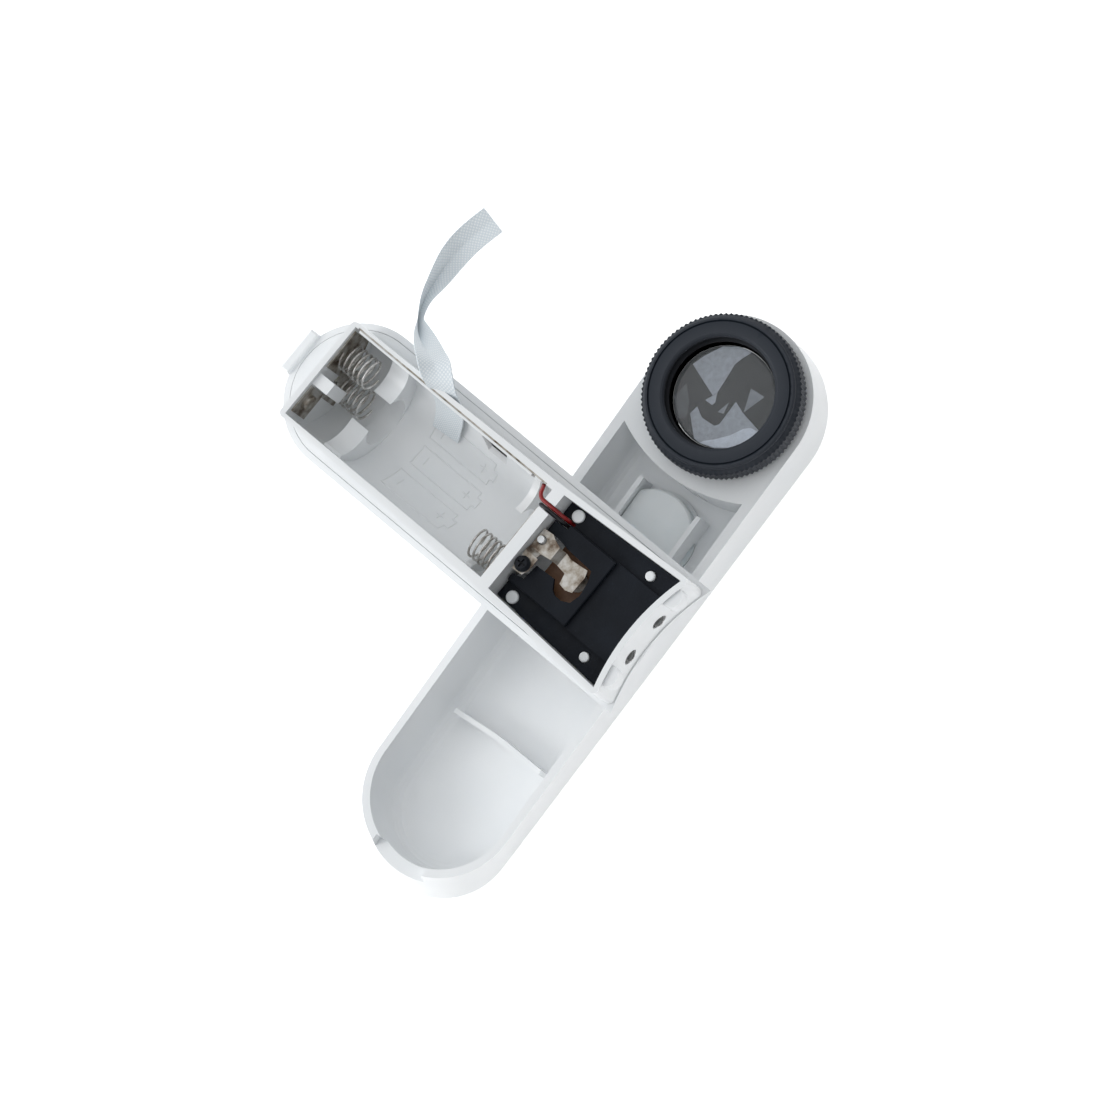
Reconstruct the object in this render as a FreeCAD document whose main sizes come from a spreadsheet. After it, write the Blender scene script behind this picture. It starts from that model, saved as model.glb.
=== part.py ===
"""Illuminated pocket magnifier, opened: a long housing with its lens head, and the battery
cartridge taken out and laid crosswise over the tray.

Frame: millimetres, +Z up, origin where the lens axis meets the surface that the housing lies on.
+X runs along the housing, from the handle end towards the lens.  The cartridge is drawn in a
frame of its own: +X from its concave end to its latch tab, +Z from the cover's underside up to
the open rim of the battery box.
"""

import FreeCAD, Part
import math
import os

import Sketcher
from FreeCAD import Placement, Rotation, Vector

doc = FreeCAD.newDocument("pocket_magnifier")
sheet = doc.addObject("Spreadsheet::Sheet", "Sizes")

# ---------------------------------------------------------------------------
# Driving dimensions
# ---------------------------------------------------------------------------

SIZES = [
    # housing
    ("rim_height", 14.0),
    ("floor_thick", 1.8),
    ("hull_handle_end", 113.0),
    ("hull_handle_round", 14.4),
    ("hull_lens_round", 16.9),
    ("rim_handle_end", 109.6),
    ("rim_handle_round", 16.2),
    ("rim_lens_round", 16.9),
    ("hull_edge_round", 2.6),
    ("tray_handle_end", 107.9),
    ("tray_round", 14.7),
    ("tray_floor_end", 107.2),
    ("tray_floor_round", 12.6),
    ("tray_floor_lens_round", 14.0),
    ("tray_edge_round", 2.2),
    ("deck_edge_centre", 13.7),
    ("deck_edge_round", 32.0),
    ("cross_rib_at", 79.6),
    ("cross_rib_half", 10.8),
    ("cross_rib_height", 6.6),
    ("rib_thick", 1.0),
    ("guide_rib_height", 8.5),
    ("guide_rib_side", 6.65),
    ("guide_rib_from", 35.5),
    ("guide_rib_to", 21.4),
    ("latch_half", 6.2),
    ("latch_deep", 3.2),
    # lens head
    ("port_round", 9.5),
    ("well_round", 13.15),
    ("light_slot_round", 2.0),
    ("light_slot_side", 4.3),
    ("light_slot_height", 7.2),
    ("barrel_outer", 13.1),
    ("barrel_inner", 11.97),
    ("barrel_flange", 15.2),
    ("barrel_flange_thick", 0.8),
    ("barrel_top", 18.8),
    ("knurl_outer", 16.0),
    ("knurl_depth", 0.32),
    ("knurl_count", 96),
    ("ring_inner", 13.18),
    ("ring_bottom", 15.1),
    ("ring_top", 19.9),
    ("ring_seat", 19.2),
    ("bezel_outer", 15.0),
    ("bezel_spigot", 14.0),
    ("bezel_inner", 11.0),
    ("bezel_top", 21.0),
    ("bezel_groove_at", 14.05),
    ("cell_outer", 11.9),
    ("cell_inner", 10.85),
    ("cell_bottom", 7.6),
    ("cell_top", 18.2),
    ("lip_inner", 10.55),
    ("lip_thick", 0.4),
    ("lens_round", 10.8),
    ("eye_lens_bottom", 15.85),
    ("eye_lens_edge", 2.2),
    ("eye_lens_crown", 1.7),
    ("field_lens_bottom", 9.0),
    ("field_lens_edge", 1.6),
    ("field_lens_crown", 1.5),
    ("guide_outer", 13.05),
    ("guide_inner", 9.7),
    ("guide_top", 6.3),
    ("button_at", 29.4),
    ("button_round", 8.4),
    ("button_flange", 9.4),
    ("button_pad", 8.7),
    ("button_top", 6.5),
    ("button_gap", 0.15),
    ("button_travel", 1.0),
    # cartridge, in its own frame
    ("cart_x", -46.5),
    ("cart_y", -19.8),
    ("cart_z", 14.3),
    ("cart_turn", 86.33),
    ("cover_depth", 9.7),
    ("cover_wall", 1.3),
    ("cover_half", 15.0),
    ("cover_end", 93.2),
    ("cover_mid_height", 3.2),
    ("cover_mid_half", 12.6),
    ("cover_base_half", 8.2),
    ("concave_round", 46.0),
    ("tab_end", 94.4),
    ("tab_half", 4.8),
    ("box_rim", 20.7),
    ("box_end", 84.6),
    ("box_end_half", 11.6),
    ("box_mid_half", 12.6),
    ("box_lens_half", 14.15),
    ("box_wall", 1.2),
    ("divider_from", 28.6),
    ("divider_to", 31.2),
    ("trough_round", 10.7),
    ("trough_centre", 13.0),
    ("cell_round", 5.35),
    ("low_cell_height", 7.75),
    ("high_cell_height", 16.9),
    ("high_cell_side", 5.35),
    ("cradle_top", 14.6),
    ("cradle_thick", 1.6),
    ("rear_cradle_thick", 4.4),
    ("rear_cradle_at", 71.2),
    ("front_cradle_at", 36.2),
    ("bay_floor", 12.2),
    ("stake_near", 6.8),
    ("stake_far", 25.6),
    ("stake_side", 9.9),
    ("stake_round", 1.05),
    ("stake_small_round", 0.75),
    ("slit_from", 47.0),
    ("slit_to", 53.6),
    ("slit_low", 6.6),
    ("slit_high", 9.3),
    ("led_side", 4.3),
    ("led_height", 13.9),
    ("led_round", 1.5),
    ("plate_low", 15.1),
    ("plate_mid", 16.0),
    ("plate_high", 17.0),
    ("plate_thick", 0.9),
    ("plate_raised_from", 13.2),
    ("plate_raised_half", 7.8),
    ("screw_x", 26.9),
    ("screw_y", 3.7),
    ("screw_head", 1.6),
    ("metal", 0.3),
    ("spring_wire", 0.24),
    ("spring_big", 2.9),
    ("spring_small", 1.6),
    ("spring_long", 6.8),
    ("spring_turns", 5.5),
    ("blade_high", 18.6),
    ("blade_low", 16.3),
    ("wire_round", 0.4),
    ("ribbon_tube", 0.8),
]


class Dim:
    """A length with its present value and the expression that keeps it tied to the sheet."""

    def __init__(self, value, text):
        self.value = float(value)
        self.text = text

    def join(self, other, sign, value):
        right = other.text if isinstance(other, Dim) else repr(float(other))
        return Dim(value, "(%s %s %s)" % (self.text, sign, right))

    def __add__(self, other):
        return self.join(other, "+", self.value + number(other))

    def __sub__(self, other):
        return self.join(other, "-", self.value - number(other))

    def __mul__(self, other):
        return self.join(other, "*", self.value * number(other))

    def __neg__(self):
        return Dim(-self.value, "(0 - %s)" % self.text)


def number(value):
    return value.value if isinstance(value, Dim) else float(value)


def fill_sheet():
    sizes = {}
    for row, (alias, value) in enumerate(SIZES, start=1):
        sheet.set("A%d" % row, alias.replace("_", " "))
        sheet.set("B%d" % row, repr(value))
        sheet.setAlias("B%d" % row, alias)
        sizes[alias] = Dim(value, "Sizes.%s" % alias)
    doc.recompute()
    return sizes


SIZE = fill_sheet()


def dim(alias):
    return SIZE[alias]


def bind(thing, prop, value):
    """Ties a property to the sheet, or sets it when the value is a plain number."""
    if isinstance(value, Dim):
        thing.setExpression(prop, value.text)
    else:
        setattr(thing, prop, value)


# ---------------------------------------------------------------------------
# Placements
# ---------------------------------------------------------------------------

HOME = Placement()
CARTRIDGE = Placement(
    Vector(number(dim("cart_x")), number(dim("cart_y")), number(dim("cart_z"))),
    Rotation(Vector(0, 0, 1), number(dim("cart_turn"))),
)

NODES = []


def node(thing, label, place):
    """Registers a finished sub-part under its label, at its placement."""
    thing.Label = label
    thing.Placement = place
    NODES.append(thing)
    return thing


# ---------------------------------------------------------------------------
# PartDesign helpers
# ---------------------------------------------------------------------------


def new_body(label):
    return doc.addObject("PartDesign::Body", "body_" + label)


def origin_plane(body, role):
    return [plane for plane in body.Origin.OriginFeatures if plane.Role == role][0]


def new_sketch(body, name, role="XY_Plane", lift=0.0):
    sketch = body.newObject("Sketcher::SketchObject", body.Name + "_" + name)
    sketch.AttachmentSupport = [(origin_plane(body, role), "")]
    sketch.MapMode = "FlatFace"
    sketch.AttachmentOffset = Placement(Vector(0, 0, number(lift)), Rotation())
    if isinstance(lift, Dim):
        sketch.setExpression("AttachmentOffset.Base.z", lift.text)
    return sketch


def hold(sketch, index, end, x, y):
    """Holds one end of a sketch edge at bound distances from the sketch's origin."""
    for kind, axis, value in (("DistanceX", -2, x), ("DistanceY", -1, y)):
        if not isinstance(value, Dim) and value == 0:
            sketch.addConstraint(Sketcher.Constraint("PointOnObject", index, end, axis))
            continue
        rule = Sketcher.Constraint(kind, -1, 1, index, end, number(value))
        place = sketch.addConstraint(rule)
        if isinstance(value, Dim):
            sketch.setExpression("Constraints[%d]" % place, value.text)


def polygon(sketch, points):
    """A closed outline of straight edges with every corner held."""
    spots = [Vector(number(x), number(y), 0) for x, y in points]
    first = sketch.GeometryCount
    count = len(spots)
    for i in range(count):
        sketch.addGeometry(Part.LineSegment(spots[i], spots[(i + 1) % count]), False)
    for i in range(count):
        following = first + (i + 1) % count
        sketch.addConstraint(Sketcher.Constraint("Coincident", first + i, 2, following, 1))
    for i, (x, y) in enumerate(points):
        hold(sketch, first + i, 1, x, y)


def rectangle(sketch, x0, x1, y0, y1):
    polygon(sketch, [(x0, y0), (x1, y0), (x1, y1), (x0, y1)])


def disc(sketch, x, y, radius):
    centre = Vector(number(x), number(y), 0)
    circle = Part.Circle(centre, Vector(0, 0, 1), number(radius))
    index = sketch.addGeometry(circle, False)
    hold(sketch, index, 3, x, y)
    place = sketch.addConstraint(Sketcher.Constraint("Radius", index, number(radius)))
    if isinstance(radius, Dim):
        sketch.setExpression("Constraints[%d]" % place, radius.text)


def outline(sketch, edges):
    """A closed outline of lines and arcs, joined end to end where they were drawn."""
    first = sketch.GeometryCount
    for edge in edges:
        sketch.addGeometry(edge, False)
    ends = []
    for edge in edges:
        start = edge.value(edge.FirstParameter)
        finish = edge.value(edge.LastParameter)
        ends.append((start, finish))
    count = len(edges)
    for i in range(count):
        j = (i + 1) % count
        for mine, a in ((1, ends[i][0]), (2, ends[i][1])):
            for theirs, b in ((1, ends[j][0]), (2, ends[j][1])):
                if a.distanceToPoint(b) < 1e-6:
                    rule = ("Coincident", first + i, mine, first + j, theirs)
                    sketch.addConstraint(Sketcher.Constraint(*rule))


def held_radius(sketch, index, radius):
    place = sketch.addConstraint(Sketcher.Constraint("Radius", index, number(radius)))
    if isinstance(radius, Dim):
        sketch.setExpression("Constraints[%d]" % place, radius.text)


def arc(x, y, radius, start, end):
    """An arc between two angles in degrees, anticlockwise."""
    circle = Part.Circle(Vector(x, y, 0), Vector(0, 0, 1), radius)
    return Part.ArcOfCircle(circle, math.radians(start), math.radians(end))


def line(x0, y0, x1, y1):
    return Part.LineSegment(Vector(x0, y0, 0), Vector(x1, y1, 0))


def pad(body, sketch, length, back=False, name="pad"):
    feature = body.newObject("PartDesign::Pad", body.Name + "_" + name)
    feature.Profile = sketch
    bind(feature, "Length", length)
    feature.Reversed = back
    doc.recompute()
    return feature


def cut(body, sketch, length, back=False, name="cut"):
    """A pocket that must take material away; back turns its direction over."""
    before = body.Shape.Volume
    feature = body.newObject("PartDesign::Pocket", body.Name + "_" + name)
    feature.Profile = sketch
    bind(feature, "Length", length)
    feature.Reversed = back
    doc.recompute()
    if body.Shape.Volume > before - 1e-3:
        raise RuntimeError("%s takes nothing away" % feature.Name)
    return feature


def revolve(body, points, name="ring"):
    """A solid of revolution about Z from a closed outline of (radius, height) corners."""
    sketch = new_sketch(body, name + "_profile", "XZ_Plane")
    polygon(sketch, points)
    feature = body.newObject("PartDesign::Revolution", body.Name + "_" + name)
    feature.Profile = sketch
    feature.ReferenceAxis = (sketch, ["V_Axis"])
    feature.Angle = 360.0
    doc.recompute()
    return feature


def loft(body, sketches, take=False, ruled=False, name="loft"):
    kind = "PartDesign::SubtractiveLoft" if take else "PartDesign::AdditiveLoft"
    before = body.Shape.Volume if take else 0.0
    feature = body.newObject(kind, body.Name + "_" + name)
    feature.Profile = sketches[0]
    feature.Sections = sketches[1:]
    feature.Ruled = ruled
    doc.recompute()
    if take and body.Shape.Volume > before - 1e-3:
        raise RuntimeError("%s takes nothing away" % feature.Name)
    return feature


def round_edges(body, base, radius, wanted, name="fillet"):
    """Rounds the edges of the base feature that the test picks."""
    picked = []
    for i, edge in enumerate(base.Shape.Edges, start=1):
        if wanted(edge):
            picked.append("Edge%d" % i)
    if not picked:
        raise RuntimeError("no edges to round on " + base.Name)
    feature = body.newObject("PartDesign::Fillet", body.Name + "_" + name)
    feature.Base = (base, picked)
    bind(feature, "Radius", radius)
    doc.recompute()
    return feature


def flat_at(height):
    """Picks edges that lie wholly at one height."""

    def test(edge):
        box = edge.BoundBox
        return abs(box.ZMin - height) < 0.02 and abs(box.ZMax - height) < 0.02

    return test


# ---------------------------------------------------------------------------
# Housing
# ---------------------------------------------------------------------------


def tangent_sides(end_x, end_round, lens_round):
    """Centre of the handle's arc and the lean of the sides that touch both end arcs."""
    centre = -(number(end_x) - number(end_round))
    lean = math.asin((number(lens_round) - number(end_round)) / -centre)
    return centre, lean


def hull_outline(sketch, end_x, end_round, lens_round):
    """Plan of the housing: a small round end at the handle and a larger one at the lens."""
    centre, lean = tangent_sides(end_x, end_round, lens_round)
    small = number(end_round)
    large = number(lens_round)
    tilt = math.degrees(lean)
    near = (centre - small * math.sin(lean), small * math.cos(lean))
    far = (-large * math.sin(lean), large * math.cos(lean))
    edges = [
        arc(centre, 0, small, 90 + tilt, 270 - tilt),
        line(near[0], -near[1], far[0], -far[1]),
        arc(0, 0, large, -90 - tilt, 90 + tilt),
        line(far[0], far[1], near[0], near[1]),
    ]
    outline(sketch, edges)
    held_radius(sketch, 0, end_round)
    held_radius(sketch, 2, lens_round)


def tray_outline(sketch, end_x, end_round, lens_round):
    """Plan of the tray: round at the handle, bounded at the lens by the deck's curved edge."""
    centre, lean = tangent_sides(end_x, end_round, lens_round)
    small = number(end_round)
    large = number(lens_round)
    middle = number(dim("deck_edge_centre"))
    sweep = number(dim("deck_edge_round"))
    tilt = math.degrees(lean)
    along = Vector(math.cos(lean), math.sin(lean), 0)
    start = Vector(-large * math.sin(lean), large * math.cos(lean), 0)
    reach = start - Vector(middle, 0, 0)
    slide = -reach.dot(along) - math.sqrt(reach.dot(along) ** 2 - reach.Length**2 + sweep**2)
    corner = start + along * slide
    angle = math.degrees(math.asin(corner.y / sweep))
    near = (centre - small * math.sin(lean), small * math.cos(lean))
    edges = [
        arc(centre, 0, small, 90 + tilt, 270 - tilt),
        line(near[0], -near[1], corner.x, -corner.y),
        arc(middle, 0, sweep, 180 - angle, 180 + angle),
        line(corner.x, corner.y, near[0], near[1]),
    ]
    outline(sketch, edges)
    held_radius(sketch, 0, end_round)
    held_radius(sketch, 2, dim("deck_edge_round"))


def rounded_stack(body, draw, low, high, edge, name, take=False):
    """A tapered prism whose lower edge is rounded in steps; low and high are
    (height, end_x, end_round, lens_round) and draw makes the plan at one height."""
    heights = (number(low[0]), number(high[0]))
    steps = 4
    sections = []
    for i in range(steps + 2):
        if i <= steps:
            angle = math.pi / 2 * i / steps
            height = heights[0] + edge * (1 - math.cos(angle))
            inset = edge * (1 - math.sin(angle))
        else:
            height = heights[1]
            inset = 0.0
        share = (height - heights[0]) / (heights[1] - heights[0])
        sizes = [number(a) + (number(b) - number(a)) * share for a, b in zip(low[1:], high[1:])]
        sketch = new_sketch(body, "%s_%d" % (name, i), lift=height)
        draw(sketch, *[size - inset for size in sizes])
        sections.append(sketch)
    return loft(body, sections, take=take, ruled=True, name=name)


def make_housing():
    body = new_body("housing_shell")
    low = (0.0, dim("hull_handle_end"), dim("hull_handle_round"), dim("hull_lens_round"))
    rim = dim("rim_height")
    high = (rim, dim("rim_handle_end"), dim("rim_handle_round"), dim("rim_lens_round"))
    rounded_stack(body, hull_outline, low, high, number(dim("hull_edge_round")), "hull")

    low = (
        dim("floor_thick"), dim("tray_floor_end"),
        dim("tray_floor_round"), dim("tray_floor_lens_round"),
    )
    high = (rim, dim("tray_handle_end"), dim("tray_round"), dim("tray_round"))
    edge = number(dim("tray_edge_round"))
    rounded_stack(body, tray_outline, low, high, edge, "tray", take=True)

    well = new_sketch(body, "well", lift=dim("rim_height"))
    disc(well, 0, 0, dim("well_round"))
    cut(body, well, dim("rim_height") - dim("floor_thick"), name="well_cut")
    port = new_sketch(body, "port", lift=dim("floor_thick"))
    disc(port, 0, 0, dim("port_round"))
    cut(body, port, dim("floor_thick") + 1.0, name="port_cut")

    latch = new_sketch(body, "latch", lift=dim("rim_height"))
    rectangle(
        latch, -(dim("hull_handle_end") + 2.0), -(dim("tray_handle_end") - 0.9),
        -dim("latch_half"), dim("latch_half"),
    )
    cut(body, latch, dim("latch_deep"), name="latch_cut")

    slots = new_sketch(body, "light_slots", "YZ_Plane", lift=-12.0)
    for side in (-1, 1):
        disc(slots, dim("light_slot_side") * side, dim("light_slot_height"), dim("light_slot_round"))
    cut(body, slots, 8.0, name="light_slot_cut")

    floor_top = dim("floor_thick") - 0.4
    rib = new_sketch(body, "cross_rib", lift=floor_top)
    half = dim("cross_rib_half")
    near = -dim("cross_rib_at")
    polygon(
        rib,
        [
            (near, -half),
            (near + dim("rib_thick"), -half),
            (near + dim("rib_thick") + 0.5, -1.0),
            (near + dim("rib_thick") + 0.5, 1.5),
            (near + dim("rib_thick"), half),
            (near, half),
            (near + 0.5, 1.5),
            (near + 0.5, -1.0),
        ],
    )
    pad(body, rib, dim("cross_rib_height") - floor_top, name="cross_rib_pad")

    for side, tag in ((-1, "right"), (1, "left")):
        guide = new_sketch(body, "guide_" + tag, lift=floor_top)
        inner = dim("guide_rib_side") * side
        rectangle(
            guide, -dim("guide_rib_from"), -dim("guide_rib_to"),
            inner, inner + dim("rib_thick") * side,
        )
        pad(body, guide, dim("guide_rib_height") - floor_top, name="guide_pad_" + tag)

    clear = dim("floor_thick") + dim("button_travel") + 0.3
    hole = new_sketch(body, "button_hole", lift=clear)
    disc(hole, -dim("button_at"), 0, dim("button_round"))
    cut(body, hole, clear + 1.0, name="button_cut")
    return node(body, "housing_shell", HOME)


def make_button():
    body = new_body("push_button")
    gap = dim("button_gap")
    floor = dim("floor_thick")
    revolve(
        body,
        [
            (0, gap + 0.35),
            (dim("button_round") - 2.0, gap + 0.05),
            (dim("button_round") - 0.6, gap),
            (dim("button_round") - gap, gap + 0.45),
            (dim("button_round") - gap, floor + 0.05),
            (dim("button_flange"), floor + 0.05),
            (dim("button_flange"), floor + 0.9),
            (dim("button_pad"), floor + 1.0),
            (dim("button_pad"), dim("button_top") - 0.4),
            (dim("button_pad") - 0.4, dim("button_top")),
            (0, dim("button_top")),
        ],
        "pad_and_plug",
    )
    flats = new_sketch(body, "flats", lift=floor)
    inner = dim("guide_rib_side") - 0.2
    for side in (-1, 1):
        rectangle(flats, -12.0, 12.0, inner * side, inner * side + 5.0 * side)
    cut(body, flats, dim("button_top"), back=True, name="flat_cut")
    place = Placement(Vector(-number(dim("button_at")), 0, 0), Rotation())
    return node(body, "push_button", place)


# ---------------------------------------------------------------------------
# Lens head
# ---------------------------------------------------------------------------


def make_barrel():
    body = new_body("lens_barrel")
    rim = dim("rim_height")
    step = dim("barrel_flange_thick")
    revolve(
        body,
        [
            (dim("barrel_inner"), dim("guide_top") + 0.1),
            (dim("barrel_outer"), dim("guide_top") + 0.1),
            (dim("barrel_outer"), rim),
            (dim("barrel_flange"), rim),
            (dim("barrel_flange"), rim + step),
            (dim("barrel_outer"), rim + step),
            (dim("barrel_outer"), dim("barrel_top")),
            (dim("barrel_inner"), dim("barrel_top")),
        ],
        "tube",
    )
    return node(body, "lens_barrel", HOME)


def knurled_outline(radius, depth, count):
    """A toothed circle: one crest and one root for each tooth."""
    points = []
    for i in range(2 * int(count)):
        reach = radius if i % 2 == 0 else radius - depth
        angle = math.pi * i / int(count)
        points.append(Vector(reach * math.cos(angle), reach * math.sin(angle), 0))
    points.append(points[0])
    return Part.Face(Part.makePolygon(points))


def make_focus_ring():
    """The knurled ring: a toothed band between two plain chamfered bands."""
    outer = number(dim("knurl_outer"))
    low = number(dim("ring_bottom"))
    top = number(dim("ring_top"))
    seat = number(dim("ring_seat"))
    inner = number(dim("ring_inner"))
    teeth = knurled_outline(outer, number(dim("knurl_depth")), number(dim("knurl_count")))
    teeth.translate(Vector(0, 0, low + 0.35))
    band = teeth.extrude(Vector(0, 0, top - low - 1.15))
    root = outer - number(dim("knurl_depth"))
    foot = Part.makeCone(root - 0.35, root, 0.35, Vector(0, 0, low))
    crown = Part.makeCone(root, root - 0.7, 0.8, Vector(0, 0, top - 0.8))
    solid = band.fuse([foot, crown])
    bore = Part.makeCylinder(inner, top - low + 2, Vector(0, 0, low - 1))
    recess = number(dim("bezel_spigot"))
    counterbore = Part.makeCylinder(recess + 0.02, top - seat + 1, Vector(0, 0, seat))
    solid = solid.cut(bore).cut(counterbore)
    ring = doc.addObject("Part::Feature", "focus_ring_solid")
    ring.Shape = solid.removeSplitter()
    return node(ring, "focus_ring", HOME)


def make_bezel():
    body = new_body("bezel_ring")
    groove = dim("bezel_groove_at")
    top = dim("bezel_top")
    revolve(
        body,
        [
            (dim("bezel_inner"), dim("ring_top")),
            (dim("ring_inner") + 0.12, dim("ring_top")),
            (dim("ring_inner") + 0.12, dim("ring_seat") + 0.05),
            (dim("bezel_spigot"), dim("ring_seat") + 0.05),
            (dim("bezel_spigot"), dim("ring_top")),
            (dim("bezel_outer"), dim("ring_top")),
            (dim("bezel_outer"), top - 0.35),
            (dim("bezel_outer") - 0.35, top - 0.05),
            (groove + 0.18, top - 0.02),
            (groove + 0.10, top - 0.30),
            (groove - 0.10, top - 0.30),
            (groove - 0.18, top),
            (dim("bezel_inner") + 0.7, top),
            (dim("bezel_inner") + 0.25, top - 0.2),
            (dim("bezel_inner"), top - 0.5),
        ],
        "dress_ring",
    )
    return node(body, "bezel_ring", HOME)


def make_lens_cell():
    body = new_body("lens_cell")
    revolve(
        body,
        [
            (dim("cell_inner"), dim("cell_bottom")),
            (dim("cell_outer"), dim("cell_bottom")),
            (dim("cell_outer"), dim("cell_top")),
            (dim("cell_inner"), dim("cell_top")),
        ],
        "sleeve",
    )
    return node(body, "lens_cell", HOME)


def make_ring(label, inner, outer, low, high):
    body = new_body(label)
    revolve(body, [(inner, low), (outer, low), (outer, high), (inner, high)], "hoop")
    return node(body, label, HOME)


def make_lens(label, bottom, edge, crown, up):
    """A plano-convex lens: a flat face, a short cylindrical edge and a spherical crown."""
    radius = number(dim("lens_round"))
    rise = number(crown)
    sphere = (radius**2 + rise**2) / (2 * rise)
    body = new_body(label)
    sketch = new_sketch(body, "section", "XZ_Plane")
    low = number(bottom)
    side = number(edge)
    half = math.degrees(math.asin(radius / sphere))
    if up:
        centre = low + side + rise - sphere
        dome = arc(0, centre, sphere, 90 - half, 90)
        edges = [
            line(0, low, radius, low),
            line(radius, low, radius, low + side),
            dome,
            line(0, low + side + rise, 0, low),
        ]
    else:
        centre = low + sphere
        dome = arc(0, centre, sphere, 270, 270 + half)
        edges = [
            dome,
            line(radius, low + rise, radius, low + rise + side),
            line(radius, low + rise + side, 0, low + rise + side),
            line(0, low + rise + side, 0, low),
        ]
    outline(sketch, edges)
    feature = body.newObject("PartDesign::Revolution", body.Name + "_glass")
    feature.Profile = sketch
    feature.ReferenceAxis = (sketch, ["V_Axis"])
    feature.Angle = 360.0
    doc.recompute()
    return node(body, label, HOME)


def make_light_guide():
    """Clear collar in the well that carries the lamps' light down round the port."""
    outer = number(dim("guide_outer"))
    low = number(dim("floor_thick")) + 0.05
    top = number(dim("guide_top"))
    inner = number(dim("guide_inner"))
    collar = Part.makeCylinder(outer, top - low, Vector(0, 0, low))
    mouth = Part.makeCone(inner, outer - 0.9, top - low, Vector(0, 0, low))
    solid = collar.cut(mouth)
    guide = doc.addObject("Part::Feature", "light_guide_solid")
    guide.Shape = solid
    return node(guide, "light_guide", HOME)


def make_lens_head():
    make_barrel()
    make_focus_ring()
    make_bezel()
    make_lens_cell()
    lip_top = dim("cell_top") + dim("lip_thick")
    make_ring("cell_lip_ring", dim("lip_inner"), dim("cell_outer"), dim("cell_top"), lip_top)
    make_lens("eye_lens", dim("eye_lens_bottom"), dim("eye_lens_edge"), dim("eye_lens_crown"), True)
    field_top = dim("field_lens_bottom") + dim("field_lens_edge") + dim("field_lens_crown")
    make_ring(
        "lens_spacer", dim("lip_inner") - 0.6, dim("cell_inner") - 0.03,
        field_top, dim("eye_lens_bottom"),
    )
    make_lens(
        "field_lens", dim("field_lens_bottom"), dim("field_lens_edge"),
        dim("field_lens_crown"), False,
    )
    make_ring(
        "retaining_ring", dim("lip_inner") - 0.5, dim("cell_inner") - 0.03,
        dim("cell_bottom") + 0.1, dim("field_lens_bottom") + dim("field_lens_crown") - 0.25,
    )
    make_light_guide()


# ---------------------------------------------------------------------------
# Cartridge: outer cover
# ---------------------------------------------------------------------------


def cover_outline(sketch, near, far, half):
    """Plan of the cover at one height: a concave end at near and a round end at far."""
    sweep = number(dim("concave_round"))
    middle = near - sweep
    angle = math.degrees(math.asin(half / sweep))
    corner = middle + math.sqrt(sweep**2 - half**2)
    edges = [
        arc(middle, 0, sweep, -angle, angle),
        line(corner, half, far - half, half),
        arc(far - half, 0, half, -90, 90),
        line(far - half, -half, corner, -half),
    ]
    outline(sketch, edges)
    held_radius(sketch, 0, dim("concave_round"))


def make_outer_cover():
    body = new_body("outer_cover")
    depth = number(dim("cover_depth"))
    wall = number(dim("cover_wall"))
    middle = number(dim("cover_mid_height"))
    far = number(dim("cover_end"))
    halves = [number(dim(name)) for name in ("cover_base_half", "cover_mid_half", "cover_half")]
    skins = []
    for height, near, end, half in (
        (0.0, 8.0, far - 6.2, halves[0]),
        (middle, 4.2, far - 2.2, halves[1]),
        (depth, 0.0, far, halves[2]),
    ):
        sketch = new_sketch(body, "skin_%d" % len(skins), lift=height)
        cover_outline(sketch, near, end, half)
        skins.append(sketch)
    loft(body, skins, name="skin")

    lip = new_sketch(body, "lip", lift=depth - 0.4)
    cover_outline(lip, 0.0, far, halves[2])
    pad(body, lip, 0.4, name="lip_pad")

    hollows = []
    ledge = depth - 1.4
    for height, near, end, half in (
        (wall, 9.6, far - 7.4, halves[0] - wall),
        (middle + 0.8, 5.6, far - 3.3, halves[1] - wall + 0.3),
        (ledge, wall, far - wall, halves[2] - wall),
    ):
        sketch = new_sketch(body, "hollow_%d" % len(hollows), lift=height)
        cover_outline(sketch, near, end, half)
        hollows.append(sketch)
    loft(body, hollows, take=True, name="hollow")
    mouth = new_sketch(body, "mouth", lift=depth)
    cover_outline(mouth, wall, far - wall, halves[2] - wall)
    cut(body, mouth, 1.4, name="mouth_cut")

    tab = new_sketch(body, "tab", lift=depth - 3.4)
    half = dim("tab_half")
    rectangle(tab, dim("cover_end") - 0.9, dim("tab_end"), -half, half)
    latch = pad(body, tab, 3.4 + 1.2, name="tab_pad")
    round_edges(body, latch, 0.5, flat_at(depth + 1.2), "tab_round")
    return node(body, "outer_cover", CARTRIDGE)


# ---------------------------------------------------------------------------
# Cartridge: battery box
# ---------------------------------------------------------------------------


def bay_edges(near, far, near_half, far_half):
    """Plan of the bay end: concave at near, straight at far, with slightly converging sides."""
    sweep = number(dim("concave_round"))
    middle = near - sweep
    angle = math.degrees(math.asin(near_half / sweep))
    corner = middle + math.sqrt(sweep**2 - near_half**2)
    return [
        arc(middle, 0, sweep, -angle, angle),
        line(corner, near_half, far, far_half),
        line(far, far_half, far, -far_half),
        line(far, -far_half, corner, -near_half),
    ]


def bay_outline(sketch, near, far, near_half, far_half):
    outline(sketch, bay_edges(near, far, near_half, far_half))
    held_radius(sketch, 0, dim("concave_round"))


def trough_profile(sketch, radius, top):
    """Cross section of the trough: round below, straight sides up to the top."""
    centre = number(dim("trough_centre"))
    reach = number(radius)
    edges = [
        arc(0, centre, reach, 180, 360),
        line(reach, centre, reach, top),
        line(reach, top, -reach, top),
        line(-reach, top, -reach, centre),
    ]
    outline(sketch, edges)
    held_radius(sketch, 0, radius)


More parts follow.
